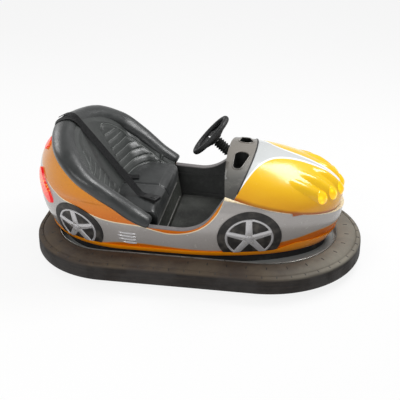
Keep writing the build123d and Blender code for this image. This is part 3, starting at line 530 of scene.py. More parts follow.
class Shape:
    """Points and faces gathered for one piece."""

    def __init__(self):
        self.points = []
        self.faces = []
        self.marks = []

    def grid(self, rows, ring=False, loop=False, marks=None):
        """Quads through equal rows. A ring closes each row, and a loop joins the last row to the first."""
        start, width = len(self.points), len(rows[0])
        for row in rows:
            self.points += [Vector(point) for point in row]
        for row in range(len(rows) if loop else len(rows) - 1):
            for column in range(width if ring else width - 1):
                here, after = row * width, (row + 1) % len(rows) * width
                self.faces.append(
                    [start + here + column, start + here + (column + 1) % width,
                     start + after + (column + 1) % width, start + after + column]
                )
        self.marks += marks or []

    def closed(self, rows):
        """A grid of rings with its two ends filled."""
        start, width = len(self.points), len(rows[0])
        self.grid(rows, ring=True)
        self.faces.append([start + column for column in reversed(range(width))])
        self.faces.append([start + (len(rows) - 1) * width + column for column in range(width)])

    def turned(self, place, profile, sides=28):
        """Solid of revolution round a frame's Z, through (radius, height) pairs."""
        self.closed([
            [place @ polar(angle, radius, height) for angle in turns(sides)] for radius, height in profile
        ])

    def slab(self, place, outline, thickness, bevel):
        """Plate with rounded-over edges, its outline given in a frame's X and Y."""
        centre = Vector([sum(part) for part in zip(*outline)]) / len(outline)
        reach = max((Vector(point) - centre).length for point in outline)
        rows = []
        for inset, height in (
            (bevel, 0), (bevel * 0.3, bevel * 0.3), (0, bevel), (0, thickness - bevel),
            (bevel * 0.3, thickness - bevel * 0.3), (bevel, thickness),
        ):
            share = 1 - inset / reach
            rows.append([
                place @ Vector((centre.x + (x - centre.x) * share, centre.y + (y - centre.y) * share, height))
                for x, y in outline
            ])
        self.closed(rows)

    def tube(self, path, radius, sides=8, loop=False):
        """Bead along a path."""
        rows = []
        count = len(path)
        for index, point in enumerate(path):
            before = path[index - 1] if index or loop else point
            after = path[(index + 1) % count] if index < count - 1 or loop else point
            place = facing(point, after - before)
            rows.append([place @ polar(angle, radius) for angle in turns(sides)])
        if loop:
            self.grid(rows, ring=True, loop=True)
        else:
            self.closed(rows)

    def mesh(self, name):
        made = bpy.data.meshes.new(name)
        made.from_pydata(self.points, [], self.faces)
        return made

    def piece(self, name, slot, body="chassis", finish=None, sharp=40):
        mesh = self.mesh(name)
        if self.marks:
            layer = mesh.uv_layers.new(name="UVMap")
            for loop in mesh.loops:
                layer.data[loop.index].uv = self.marks[loop.vertex_index]
        reworked(mesh, outward)
        return settle(name, mesh, slot, body, finish, sharp)


def settle(name, mesh, slot, body="chassis", finish=None, sharp=40):
    """Turns a finished mesh into a piece that rides on a body."""
    mesh.shade_smooth()
    mesh.set_sharp_from_angle(angle=math.radians(sharp))
    made = linked(name, mesh)
    mesh.materials.clear()
    mesh.materials.append(finishes[finish or slot].material)
    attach(made, body)
    return made


def rounded_outline(length, width, radius, steps=5):
    """Rectangle with round corners, in X and Y about the middle."""
    points = []
    for corner, (sign_x, sign_y) in enumerate(((1, 1), (-1, 1), (-1, -1), (1, -1))):
        for step in range(steps + 1):
            angle = math.pi / 2 * (corner + step / steps)
            points.append((sign_x * (length / 2 - radius) + radius * math.cos(angle),
                           sign_y * (width / 2 - radius) + radius * math.sin(angle)))
    return points


def bolt(shape, place, radius=0.007):
    """Domed bolt head on its washer."""
    shape.turned(place, ((radius * 1.7, 0), (radius * 1.75, 0.0008), (radius * 1.6, 0.0016), (radius, 0.0017),
                         (radius, 0.0028), (radius * 0.86, 0.0046), (radius * 0.5, 0.0058),
                         (radius * 0.12, 0.0062)), 20)


# ---------------------------------------------------------------- upholstery
PAD_PRESSURE = 4
PAD_STIFFNESS = 15
PAD_FRAMES = 20
HELD_WITHIN = 0.012


def swollen(name, node, voxel, reach, neighbours, smoothing):
    """Padded copy of a CAD solid: remeshed, then swollen."""
    work = loose_copy(node)
    remesh = work.modifiers.new("remesh", "REMESH")
    remesh.mode = "VOXEL"
    remesh.voxel_size = voxel
    work.data = applied(work)
    return pumped(name, work, reach, neighbours, smoothing)


def pumped(name, work, reach, neighbours, smoothing=3):
    """Swells a mesh by a cloth simulation, held where it lies on its neighbours, then subdivides it."""
    rest = coordinates(work.data)
    walls = skin(*neighbours)
    held = work.vertex_groups.new(name="held")
    for index, point in enumerate(rest):
        hit = walls.find_nearest(Vector(point), 0.05)
        if hit[0] is not None and hit[3] < HELD_WITHIN:
            held.add([index], 1.0, "REPLACE")
    cloth = work.modifiers.new("cloth", "CLOTH").settings
    cloth.use_pressure = True
    cloth.uniform_pressure_force = PAD_PRESSURE
    cloth.effector_weights.gravity = 0
    cloth.vertex_group_mass = "held"
    cloth.tension_stiffness = cloth.compression_stiffness = PAD_STIFFNESS
    for step in range(PAD_FRAMES):
        scene.frame_set(step + 1)
    work.data = applied(work)
    scene.frame_set(1)
    moved = coordinates(work.data) - rest
    length = np.linalg.norm(moved, axis=1, keepdims=True)
    place = rest + moved * np.minimum(1, reach / np.maximum(length, 1e-9))
    work.data.vertices.foreach_set("co", place.astype(np.float32).ravel())
    smooth(work.data, smoothing)
    divide = work.modifiers.new("divide", "SUBSURF")
    divide.levels = divide.render_levels = 1
    mesh = applied(work)
    bpy.data.objects.remove(work)
    mesh.name = name
    return mesh


def applied(work):
    """Mesh of an object with its modifiers applied, which are then taken off."""
    ready = work.evaluated_get(bpy.context.evaluated_depsgraph_get())
    mesh = bpy.data.meshes.new_from_object(ready)
    work.modifiers.clear()
    return mesh


def coordinates(mesh):
    flat = np.zeros(len(mesh.vertices) * 3, np.float32)
    mesh.vertices.foreach_get("co", flat)
    return flat.reshape(-1, 3).astype(float)


def smooth(mesh, steps):
    """Evens the surface out by a few passes of averaging."""
    axes = {f"use_axis_{axis}": True for axis in "xyz"}
    for _ in range(steps):
        reworked(mesh, lambda form: bmesh.ops.smooth_vert(form, verts=form.verts, factor=0.5, **axes))


# Roll round the seat, from its left end round the tail to its right end. Each station of one half: its
# middle, half width, half height, and its lean outwards in degrees
ROLL_STATIONS = (
    (-0.212, 0.430, 0.366, 0.050, 0.033, 4), (-0.320, 0.432, 0.426, 0.058, 0.042, 4),
    (-0.400, 0.439, 0.487, 0.060, 0.044, -4), (-0.486, 0.446, 0.548, 0.064, 0.047, -12),
    (-0.590, 0.433, 0.620, 0.072, 0.049, -20), (-0.690, 0.346, 0.690, 0.074, 0.050, -14),
    (-0.766, 0.190, 0.729, 0.070, 0.046, -2), (-0.799, 0.000, 0.750, 0.071, 0.049, 10),
)
ROLL_PITCH = 0.010
ROLL_SIDES = 52
# Length of the roll's rounded ends, and how much of it the flat end takes off
ROLL_NOSE = 0.022
ROLL_BLUNT = 0.006


def spline(stations, pitch):
    """Rows of numbers drawn smoothly through given rows, at about an even spacing."""
    ends = [2 * np.array(stations[0]) - stations[1], 2 * np.array(stations[-1]) - stations[-2]]
    rows = [ends[0], *np.array(stations, float), ends[1]]
    drawn = []
    for a, b, c, d in zip(rows, rows[1:], rows[2:], rows[3:]):
        steps = max(1, round(float(np.linalg.norm(c[:3] - b[:3])) / pitch))
        for step in range(steps):
            t = step / steps
            drawn.append(0.5 * (2 * b + (c - a) * t + (2 * a - 5 * b + 4 * c - d) * t**2
                                + (3 * b - a - 3 * c + d) * t**3))
    return drawn + [rows[-2]]


def roll_form():
    """Tube of the roll, with rounded ends, and its edge towards the seat."""
    right = [(x, -y, *rest) for x, y, *rest in reversed(ROLL_STATIONS[:-1])]
    rows = spline([*ROLL_STATIONS, *right], ROLL_PITCH)
    shape = Shape()
    rings, edge = [], []
    for index, row in enumerate(rows):
        before, after = rows[max(0, index - 1)], rows[min(len(rows) - 1, index + 1)]
        forward = Vector(after[:3] - before[:3]).normalized()
        out = Vector((forward.y, -forward.x, 0)).normalized()
        out = (out - UP * math.tan(math.radians(row[5]))).normalized()
        over = forward.cross(out).normalized()
        end = min(index, len(rows) - 1 - index) * ROLL_PITCH
        swell = math.sqrt(1 - max(0, 1 - (end + ROLL_BLUNT) / ROLL_NOSE) ** 2)
        middle, (wide, high) = Vector(row[:3]), row[3:5]
        rings.append([middle + out * wide * swell * math.cos(angle) + over * high * swell * math.sin(angle)
                      for angle in turns(ROLL_SIDES)])
        edge.append(middle - out * wide * 0.85 - over * high * 0.2)
    shape.closed(rings)
    return linked("roll", shape.mesh("roll")), edge


roll, roll_edge = roll_form()
collar_mesh = pumped("seat_collar_roll", roll, 0.006, ("seat_tub", "body_shell"))
collar = settle("seat_collar_roll", collar_mesh, "seat_vinyl", sharp=180)
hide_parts("seat_collar")

cushion_mesh = swollen("seat_cushion_pad", "seat_cushion", 0.006, 0.008, ("seat_tub", "seat_base"), 4)
cushion_low, cushion_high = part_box("seat_cushion")
SEAM_DEPTH = 0.006
SEAM_WIDTH = 0.006
for vertex in cushion_mesh.vertices:
    point = vertex.co
    if point.z > cushion_high.z - 0.06:
        middle = math.exp(-((point.y / SEAM_WIDTH) ** 2))
        crown = 0.010 * (1 - (2 * abs(abs(point.y) - 0.16) / 0.34) ** 2)
        rear = clamp((point.x - cushion_low.x) / 0.12)
        point.z += max(0, crown) * rear - SEAM_DEPTH * middle
cushion = settle("seat_cushion_pad", cushion_mesh, "seat_vinyl", sharp=180)
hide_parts("seat_cushion")

# Quilted tub: a fine grid read off the CAD surface and pressed into channels. Its columns are spaced along
# a trace round the tub, in degrees about its centre
TRACE_START, TRACE_SWEEP, TRACE_STEPS = 79, 202, 900
TRACE_HEIGHT = 0.34
TUB_CENTRE = -0.30
TUB_FOOT = 0.30
TUB_PITCH = 0.0058
TUB_ROWS = 150
FLARE_FOOT = 0.405
TUB_BACKING = 0.026
PANEL_INNER = 0.080
PANEL_OUTER = 0.54
PANEL_FADE = 0.12
ARCH_TOP = 0.705
ARCH_DROP = 0.05
ARCH_CROWN = 0.15
CHANNELS = (0.398, 0.436, 0.474, 0.512, 0.550, 0.588, 0.626)
PILLOW = 0.0045
GROOVE = 0.0035
GROOVE_WIDTH = 0.0045
LEAN = 0.022
WELT = 0.0024


def distances(path):
    """Distance of each point along a path."""
    return np.concatenate([[0], np.cumsum([(b - a).length for a, b in zip(path, path[1:])])])


def tub_column(tree, angle):
    """Inner face of the tub along one direction, flared out at the top to the roll's edge."""
    out = polar(angle)
    edge_reach = float(np.interp(angle, EDGE_ANGLE, EDGE_REACH))
    top = float(np.interp(angle, EDGE_ANGLE, EDGE_HEIGHT))

    def reach(height):
        hit = tree.ray_cast(Vector((TUB_CENTRE, 0, height)), out, 1.0)
        return (hit[0] - Vector((TUB_CENTRE, 0, height))).length if hit[0] is not None else None

    heights = [TUB_FOOT + (top - TUB_FOOT) * row / TUB_ROWS for row in range(TUB_ROWS + 1)]
    spans = [reach(height) for height in heights]
    known = [(height, span) for height, span in zip(heights, spans) if span is not None]
    last = known[-1][1]
    foot = min(FLARE_FOOT, top - 0.05)
    rows = []
    for height, span in zip(heights, spans):
        share = clamp((height - foot) / (top - foot))
        base = span if span is not None else last
        lean = LEAN * max(0, -out.x) * (1 - min(1, (height - TUB_FOOT) / (top - TUB_FOOT)))
        rows.append(Vector((TUB_CENTRE, 0, height)) + out * (base + (edge_reach - last) * share - lean))
    return rows, out, top


def panel_roof(span, top):
    """Height of a quilted panel's arched top."""
    arch = ARCH_TOP - ARCH_DROP * max(0, (ARCH_CROWN - span) / (ARCH_CROWN - PANEL_INNER)) ** 3
    return min(arch, top - 0.034)


def quilting(along, height, top):
    """How far the padding stands out, less its seams, at a place on the tub."""
    span = abs(along)
    roof = panel_roof(span, top)
    edge = min(span - PANEL_INNER, roof - height)
    fade = clamp((PANEL_OUTER - span) / PANEL_FADE)
    bounds = (0.36,) + CHANNELS
    lower = max([level for level in bounds if level <= height], default=bounds[0])
    higher = min([level for level in CHANNELS if level > height], default=roof)
    gap = max(higher - lower, 1e-3)
    swell = max(0, 1 - (2 * (height - lower) / gap - 1) ** 4)
    near_seam = min(abs(height - level) for level in CHANNELS)
    groove = math.exp(-((near_seam / GROOVE_WIDTH) ** 2))
    outline = math.exp(-((edge / GROOVE_WIDTH) ** 2))
    if edge > 0:
        rim = min(1, edge / 0.02)
        return fade * (PILLOW * swell * rim - GROOVE * max(groove, outline))
    return -GROOVE * outline * fade


edge_rows = [(math.atan2(point.y, point.x - TUB_CENTRE) % math.tau, point) for point in roll_edge]
EDGE_ANGLE = [angle for angle, point in edge_rows]
EDGE_REACH = [math.hypot(point.x - TUB_CENTRE, point.y) for angle, point in edge_rows]
EDGE_HEIGHT = [point.z for angle, point in edge_rows]


def quilted_tub():
    tree = skin("seat_tub")
    fine = [math.radians(TRACE_START + TRACE_SWEEP * step / TRACE_STEPS) for step in range(TRACE_STEPS + 1)]
    trace = []
    for angle in fine:
        trace.append(tree.ray_cast(Vector((TUB_CENTRE, 0, TRACE_HEIGHT)), polar(angle), 1.0)[0])
    fine = [angle for angle, point in zip(fine, trace) if point is not None]
    trace = [point for point in trace if point is not None]
    run = distances(trace)
    count = int(run[-1] / TUB_PITCH)
    places = np.linspace(0, run[-1], count)
    angles = np.interp(places, run, fine)
    front, back = [], []
    welts = {(side, level): [] for side in (-1, 1) for level in CHANNELS}
    arches = {-1: [], 1: []}
    for place, angle in zip(places, angles):
        rows, out, top = tub_column(tree, angle)
        along = run[-1] / 2 - place
        side, span = (1 if along > 0 else -1), abs(along)
        face = [point - out * quilting(along, point.z, top) for point in rows]
        front.append(face)
        back.append([point + out * TUB_BACKING for point in rows])
        if PANEL_INNER < span < PANEL_OUTER - 0.05:
            roof = panel_roof(span, top)
            for level in CHANNELS:
                if level < roof - 0.012:
                    row = round((level - TUB_FOOT) / (top - TUB_FOOT) * TUB_ROWS)
                    welts[side, level].append(face[row] - out * WELT * 0.8)
            row = round((roof - TUB_FOOT) / (top - TUB_FOOT) * TUB_ROWS)
            arches[side].append(face[row] - out * WELT * 0.8)
    # Beads along the channels and round the arches; their pale finish is a painted highlight on the seams.
    piping = Shape()
    for line in (*welts.values(), *arches.values()):
        if len(line) > 3:
            piping.tube(line, WELT, 8)
    piping.piece("quilt_piping_highlight", "seat_vinyl", finish="piping_vinyl", sharp=180)
    shape = Shape()
    shape.grid([column + list(reversed(other)) for column, other in zip(front, back)], ring=True)
    return shape.piece("seat_tub_quilting", "seat_vinyl", finish="tail_vinyl", sharp=180)


tub = quilted_tub()
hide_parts("seat_tub")


# ---------------------------------------------------------------- harness
STRAP_WIDTH = 0.052
STRAP_THICKNESS = 0.0024
STRAP_PITCH = 0.006
STRAP_BEND = 0.036
ANCHOR = Vector((-0.716, 0, 0))
# How far behind and ahead of the anchor the straps may lie on the roll
ROLL_BEHIND = 0.150
ROLL_AHEAD = 0.17


def bend(before, corner, after, radius, steps=10):
    """Path through a round corner."""
    a = (before - corner).normalized()
    b = (after - corner).normalized()
    reach = radius / math.tan(a.angle(b) / 2)
    start, end = corner + a * reach, corner + b * reach
    path = [before]
    for step in range(steps + 1):
        share = step / steps
        path.append(start * (1 - share) ** 2 + corner * 2 * share * (1 - share) + end * share**2)
    return [*path, after]


def even(path, pitch):
    """The same path with points at an even spacing."""
    run = distances(path)
    places = np.linspace(0, run[-1], max(2, int(run[-1] / pitch)))
    columns = [np.interp(places, run, [point[axis] for point in path]) for axis in range(3)]
    return [Vector(point) for point in zip(*columns)], places


def strap(name, node, line, across, twist, sag):
    """Webbing with rounded selvedges, a twist and a slight belly, along a line."""
    path, places = even(line, STRAP_PITCH)
    shape = Shape()
    rows, marks = [], []
    half = STRAP_WIDTH / 2
    # Places across the strap, and shares of its thickness
    section = [(-half, 0.35), (-half + 0.002, 0.0), (-half + 0.006, 0.12), (0, 0.0), (half - 0.006, 0.12),
               (half - 0.002, 0.0), (half, 0.35), (half, 0.65), (half - 0.002, 1.0), (half - 0.006, 0.88),
               (0, 1.0), (-half + 0.006, 0.88), (-half + 0.002, 1.0), (-half, 0.65)]
    for index, point in enumerate(path):
        before, after = path[max(0, index - 1)], path[min(len(path) - 1, index + 1)]
        forward = (after - before).normalized()
        share = index / (len(path) - 1)
        turn = Matrix.Rotation(twist * math.sin(math.pi * share), 3, forward)
        side = turn @ across
        over = turn @ side.cross(forward)
        if over.z < 0:
            over = -over
        drop = sag * math.sin(math.pi * share)
        rows.append([point + side * s + over * (t * STRAP_THICKNESS + drop) for s, t in section])
        marks += [(places[index], s + half) for s, t in section]
    shape.grid(rows, ring=True, marks=marks)
    for start in (0, len(shape.points) - len(section)):
        shape.faces.append([start + index for index in range(len(section))])
    made = shape.piece(name, "webbing", sharp=60)
    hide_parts(node)


def harness_run(foot, level, lift):
    """Line of a shoulder strap drawn taut over the roll and down to its level foot, and the way across it."""
    run = Vector((foot.x - ANCHOR.x, foot.y - ANCHOR.y, 0))
    forward = run.normalized()
    beneath = []
    for step in range(65):
        along = -ROLL_BEHIND + (ROLL_BEHIND + ROLL_AHEAD) * step / 64
        place = ANCHOR + forward * along
        hit = roll_tree.ray_cast(place + UP * 1.2, -UP, 1.2)
        if hit[0] is not None:
            beneath.append((along, hit[0].z + lift))
    beneath.append((run.length - level, foot.z))
    hull = []
    for point in beneath:
        while len(hull) > 1 and (
            (hull[-1][0] - hull[-2][0]) * (point[1] - hull[-2][1])
            - (hull[-1][1] - hull[-2][1]) * (point[0] - hull[-2][0]) > 0
        ):
            hull.pop()
        hull.append(point)
    corners = [ANCHOR + forward * along + UP * height for along, height in hull]
    corners.append(ANCHOR + forward * run.length + UP * foot.z)
    return corners[:-3] + bend(*corners[-3:], STRAP_BEND), forward.cross(UP)


roll_tree = search_tree(collar.data)
cushion_tree = search_tree(cushion.data)


def pad_height(x, y, reach):
    """Highest point of the swollen cushion round a place."""
    shares = (-1, -0.5, 0, 0.5, 1)
    spots = [Vector((x + a * reach, y + b * reach, 1)) for a in shares for b in shares]
    hits = [cushion_tree.ray_cast(spot, -UP, 1.0)[0] for spot in spots]
    return max(hit.z for hit in hits if hit is not None)


buckle_low, buckle_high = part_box("harness_buckle")
buckle_middle = (buckle_low + buckle_high) / 2
buckle_middle.z = pad_height(buckle_middle.x, buckle_middle.y, 0.034) - 0.003
OUTER_FOOT = Vector((-0.292, -0.190, buckle_middle.z + 0.0095))
INNER_FOOT = Vector((-0.388, 0.070, pad_height(-0.400, 0.066, 0.030) + 0.001))
line, across = harness_run(INNER_FOOT, 0.060, 0.002)
strap("harness_webbing_inner", "harness_strap_inner", line, across, -0.08, 0.003)
line, across = harness_run(OUTER_FOOT, 0.040, 0.006)
strap("harness_webbing_outer", "harness_strap_outer", line, across, 0.10, 0.004)

buckle_run = OUTER_FOOT - ANCHOR
buckle_run.z = 0
case = facing(buckle_middle, UP, buckle_run)
# Case, release button with three ribs, and the tongue in its mouth
shape = Shape()
shape.slab(case, rounded_outline(0.092, 0.062, 0.012), 0.019, 0.004)
shape.slab(case @ Matrix.Translation((0.016, 0, 0.017)), rounded_outline(0.034, 0.040, 0.006), 0.0045, 0.0012)
for offset in (-0.005, 0.0, 0.005):
    rib = case @ Matrix.Translation((0.016 + offset, 0, 0.0212))
    shape.slab(rib, rounded_outline(0.0018, 0.03, 0.0008, 2), 0.001, 0.0003)
buckle = shape.piece("harness_buckle_case", "black_plastic")
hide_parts("harness_buckle")
shape = Shape()
tongue = case @ Matrix.Translation((-0.046, 0, 0.0085))
shape.slab(tongue, rounded_outline(0.016, 0.050, 0.004), 0.0026, 0.0008)
shape.piece("harness_tongue", "steel")

# ---------------------------------------------------------------- bumper ring
REAR_CORNER = 0.49
ring_low, ring_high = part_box("bumper_tube")


def ring_path(inset, pitch):
    """Points and outward directions round the bumper's outline, moved inwards."""
    half = ring_high.y - inset
    nose = ring_high.x - ring_high.y
    corner = REAR_CORNER - inset
    tail = ring_low.x + REAR_CORNER
    flank = ring_high.y - REAR_CORNER
    path = []

    def arc(centre, radius, start, sweep):
        steps = max(2, round(abs(sweep) * radius / pitch))
        for step in range(steps):
            out = polar(start + sweep * (step + 0.5) / steps)
            path.append((Vector((*centre, 0)) + out * radius, out))

    def line(start, end, out):
        start, end = Vector(start), Vector(end)
        steps = max(1, round((end - start).length / pitch))
        for step in range(steps):
            path.append((Vector((*start.lerp(end, (step + 0.5) / steps), 0)), Vector(out)))

    arc((nose, 0), half, -math.pi / 2, math.pi)
    line((nose, half), (tail, half), (0, 1, 0))
    arc((tail, flank), corner, math.pi / 2, math.pi / 2)
    line((ring_low.x + inset, flank), (ring_low.x + inset, -flank), (-1, 0, 0))
    arc((tail, -flank), corner, math.pi, math.pi / 2)
    line((tail, -half), (nose, -half), (0, -1, 0))
    return path


# Inset up to which the section never changes, its inner edge along the sides and at the tail, and the
# bottom of the groove in that edge
RING_FIXED = 0.112
RING_INNER = 0.145
RING_INNER_TAIL = 0.130
RING_GROOVE = 0.1343
RING_PITCH = 0.018
# Section of the rubber ring: inset from its outline, and height
RING_SECTION = (
    (0.010, 0.045), (0.003, 0.048), (0.0, 0.055), (0.0, 0.075), (0.0, 0.098), (0.0, 0.120), (0.0012, 0.133),
    (0.0045, 0.1415), (0.009, 0.1455), (0.015, 0.1468), (0.026, 0.1493), (0.0275, 0.1478), (0.029, 0.1452),
    (0.031, 0.1470), (0.033, 0.1505), (0.040, 0.1548), (0.052, 0.1595), (0.066, 0.1628), (0.082, 0.1645),
    (0.098, 0.1650), (0.114, 0.1645), (0.130, 0.1632), (0.140, 0.1620), (0.1435, 0.1605), (0.145, 0.1575),
    (0.145, 0.1240), (RING_GROOVE, 0.1240), (RING_GROOVE, 0.1160), (0.145, 0.1160), (0.145, 0.060),
    (0.130, 0.045), (0.070, 0.045),
)
# The steel band's greatest inset under the tail, which begins at an x, and its section: inset from the
# ring's inner edge, and height
BAND_TAIL = -0.70
BAND_TAIL_LIMIT = 0.1395
BAND_SECTION = (
    (0.0004, 0.1226), (0.0004, 0.1640), (0.0010, 0.1658), (0.0023, 0.1664), (0.0036, 0.1658),
    (0.0042, 0.1640),
    (0.0042, 0.1262), (0.0056, 0.1248), (0.0200, 0.1248), (0.0205, 0.1237), (0.0200, 0.1226),
)


def ring_inner(point):
    """Inset of the ring's inner edge, a little nearer in under the overhanging tail."""
    share = clamp((point.x + 0.80) / 0.30)
    return RING_INNER_TAIL + (RING_INNER - RING_INNER_TAIL) * share * share * (3 - 2 * share)


outline = ring_path(0, RING_PITCH)
shape = Shape()
rows = []
for point, out in outline:
    inner = ring_inner(point)
    row = []
    for inset, height in RING_SECTION:
        if inset == RING_GROOVE:
            inset = min(inset, inner)
        elif inset > RING_FIXED:
            inset = RING_FIXED + (inset - RING_FIXED) * (inner - RING_FIXED) / (RING_INNER - RING_FIXED)
        row.append(point - out * inset + UP * height)
    rows.append(row)
shape.grid(rows, ring=True, loop=True)
ring = shape.piece("bumper_ring", "bumper_rubber", sharp=34)
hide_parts("bumper_tube")

shape = Shape()
rows = []
for point, out in outline:
    limit = BAND_TAIL_LIMIT if point.x < BAND_TAIL else 1
    inner = ring_inner(point)
    rows.append([point - out * min(inner + inset, limit) + UP * height for inset, height in BAND_SECTION])
shape.grid(rows, ring=True, loop=True)
band = shape.piece("bumper_band", "steel", sharp=34)
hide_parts("bumper_rim")

# Moulded ticks on the ring's side shoulder and on its crown: inset, length and pitch
shape = Shape()
ring_tree = search_tree(ring.data)
for inset, length, pitch in ((0.019, 0.018, 0.085), (0.088, 0.026, 0.115)):
    for point, out in ring_path(inset, pitch):
        hit = ring_tree.ray_cast(point + UP * 0.5, -UP, 1.0)
        place = facing(hit[0] - hit[1] * 0.0012, hit[1], out)
        shape.slab(place, rounded_outline(length, 0.0055, 0.0026, 3), 0.0022, 0.0005)
shape.piece("bumper_ticks", "tyre_black")

# Bolts through the band's foot
BAND_TOP = 0.1248
shape = Shape()
for point, out in ring_path(0.158, 0.19):
    if point.x > -0.62:
        bolt(shape, facing(point + UP * BAND_TOP, UP), 0.0055)
shape.piece("deck_bolts", "steel")

# ---------------------------------------------------------------- body details
def mirrored(point, side):
    """The point itself on the left side (1), or its mirror image on the right (-1)."""
    return Vector((point.x, side * point.y, point.z))


def raised(outline, heights):
    """Points of a flat outline, each at its own height."""
    return [Vector((point.x, point.y, height)) for point, height in zip(outline, heights)]


# Gills on the body's sides: their section (across, proud), front end, lengths and heights
shell_skin = skin("body_shell")
GILL_SECTION = ((-0.0075, 0), (-0.006, 0.004), (-0.001, 0.0075), (0.003, 0.0065), (0.0065, 0.001), (0.007, 0))
GILL_STEPS = 18
GILL_FRONT = -0.299
GILL_LENGTHS = (0.150, 0.158, 0.150, 0.120)
GILL_HEIGHTS = (0.297, 0.275, 0.252, 0.229)
shape = Shape()
for side in (-1, 1):
    for length, height in zip(GILL_LENGTHS, GILL_HEIGHTS):
        rows = []
        for step in range(GILL_STEPS + 1):
            share = step / GILL_STEPS
            origin = Vector((GILL_FRONT - length * share, side * 0.8, height - 0.010 * (1 - share)))
            hit = shell_skin.ray_cast(origin, Vector((0, -side, 0)), 1.0)
            place = facing(hit[0] - hit[1] * 0.001, hit[1], UP)
            fade = max(0.06, math.sin(math.pi * min(1, share * 1.25 + 0.1)) ** 0.7)
            rows.append([place @ Vector((across * (0.4 + 0.6 * fade), 0, proud * fade))
                         for across, proud in GILL_SECTION])
        shape.closed(rows)
shape.piece("side_gills", "body_silver", finish="silver_trim")

# Bonnet's lamp fingers: raised ridges on its stretched sphere, each ending in a lens
BONNET_CENTRE = Vector((-0.004, 0, 0.355))
BONNET_RADII = Vector((0.856, 0.475, 0.321))
BONNET_TURN = Matrix.Rotation(math.radians(-6), 3, "Y")
FINGER_EYE = Vector((0.30, 0, 0.42))
# Root, tip, and half widths there
FINGERS = (
    (Vector((0.520, 0.222, 0.588)), Vector((0.734, 0.209, 0.498)), 0.034, 0.050),
    (Vector((0.560, 0.140, 0.610)), Vector((0.790, 0.138, 0.497)), 0.034, 0.050),
    (Vector((0.630, 0.052, 0.605)), Vector((0.828, 0.046, 0.488)), 0.030, 0.044),
)
FINGER_RISE = 0.019
# How far the skin lies under the CAD bonnet between the fingers
SKIN_SINK = 0.0016
SKIN_TURNS, SKIN_LIFTS = 100, 76
# A lens: half length and half width, and its section from the middle to the rim and back under it, as
# height over the finger and share of its size
LENS_RADII = (0.040, 0.036)
LENS_SECTION = (
    (0.0030, 0.06), (0.0030, 0.3), (0.0028, 0.5), (0.0024, 0.7), (0.0016, 0.86), (0.0006, 0.95),
    (-0.0014, 1.0), (-0.0045, 0.95), (-0.0045, 0.3), (-0.0045, 0.06),
)


def bonnet_hit(direction):
    """Point and outward normal of the bonnet in a direction from the fingers' eye."""
    inverse = BONNET_TURN.transposed()
    local = inverse @ (FINGER_EYE - BONNET_CENTRE)
    start = Vector([part / radius for part, radius in zip(local, BONNET_RADII)])
    run = Vector([part / radius for part, radius in zip(inverse @ direction, BONNET_RADII)])
    ahead = start.dot(run)
    square = run.length_squared
    reach = (-ahead + math.sqrt(ahead**2 - square * (start.length_squared - 1))) / square
    at = start + run * reach
    normal = BONNET_TURN @ Vector([part / radius for part, radius in zip(at, BONNET_RADII)])
    return FINGER_EYE + direction * reach, normal.normalized()


def finger_rise(point, normal):
    """Height of the nearest ridge over the bonnet."""
    best = 0.0
    place, out = (Vector((part.x, abs(part.y), part.z)) for part in (point, normal))
    for root, tip, narrow, wide in FINGERS:
        run = tip - root
        share = clamp((place - root).dot(run) / run.length_squared)
        away = place - root - run * share
        away -= out * away.dot(out)
        width = narrow + (wide - narrow) * share
        side = away.length / width
        if side < 1:
            climb = min(1, share / 0.55)
            best = max(best, FINGER_RISE * climb * climb * (3 - 2 * climb) * (1 - side**2) ** 1.7)
    return best


shape = Shape()
for side in (-1, 1):
    rows = []
    for turn in range(SKIN_TURNS + 1):
        azimuth = math.radians(0.4 + 50 * turn / SKIN_TURNS)
        row = []
        for lift in range(SKIN_LIFTS + 1):
            elevation = math.radians(1.5 + 38 * lift / SKIN_LIFTS)
            direction = Vector((math.cos(elevation) * math.cos(azimuth),
                                side * math.cos(elevation) * math.sin(azimuth), math.sin(elevation)))
            point, normal = bonnet_hit(direction)
            row.append(point + normal * (finger_rise(point, normal) - SKIN_SINK))
        rows.append(row)
    shape.grid(rows)
shape.piece("bonnet_fingers", "bonnet_yellow", sharp=60)

shape = Shape()
for side in (-1, 1):
    for _, tip, _, _ in FINGERS:
        place = facing(*bonnet_hit((mirrored(tip, side) - FINGER_EYE).normalized()))
        rings = []
        for proud, share in LENS_SECTION:
            ring_row = []
            for angle in turns(44):
                along, across = (radius * share for radius in LENS_RADII)
                spot = place @ Vector((along * math.cos(angle), across * math.sin(angle), 0))
                at, out = bonnet_hit((spot - FINGER_EYE).normalized())
                ring_row.append(at + out * (finger_rise(at, out) + proud))
            rings.append(ring_row)
        shape.closed(rings)
lenses = shape.piece("headlamp_lenses", "lamp_yellow", sharp=60)
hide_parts("headlamps")

# Gasket between the cowl and the bonnet
hood_skin = skin("hood", "dash_cowl")
COWL_EDGE_FOOT = Vector((0.2624, 0, 0.5450))
COWL_EDGE_RUN = Vector((0.535, 0, 1)).normalized()
GASKET_STEPS = 96
path = []
for step in range(GASKET_STEPS + 1):
    angle = math.radians(2 + 176 * step / GASKET_STEPS)
    out = LEFT * math.cos(angle) + COWL_EDGE_RUN * math.sin(angle)
    hit = hood_skin.ray_cast(COWL_EDGE_FOOT + out * 0.9, -out, 1.0)
    if hit[0] is not None:
        path.append(hit[0])
shape = Shape()
shape.tube(path, 0.0045, 10)
shape.piece("cowl_gasket", "black_plastic")

# Pockets in the cowl: a cowl cut to their mouths, their cups and their lips
# A pocket's two circles on the left side: x, y, radius
POCKET = ((0.2615, 0.1055, 0.042), (0.2480, 0.1980, 0.027))
POCKET_FLOOR = 0.594
CUP_WALL = 0.003


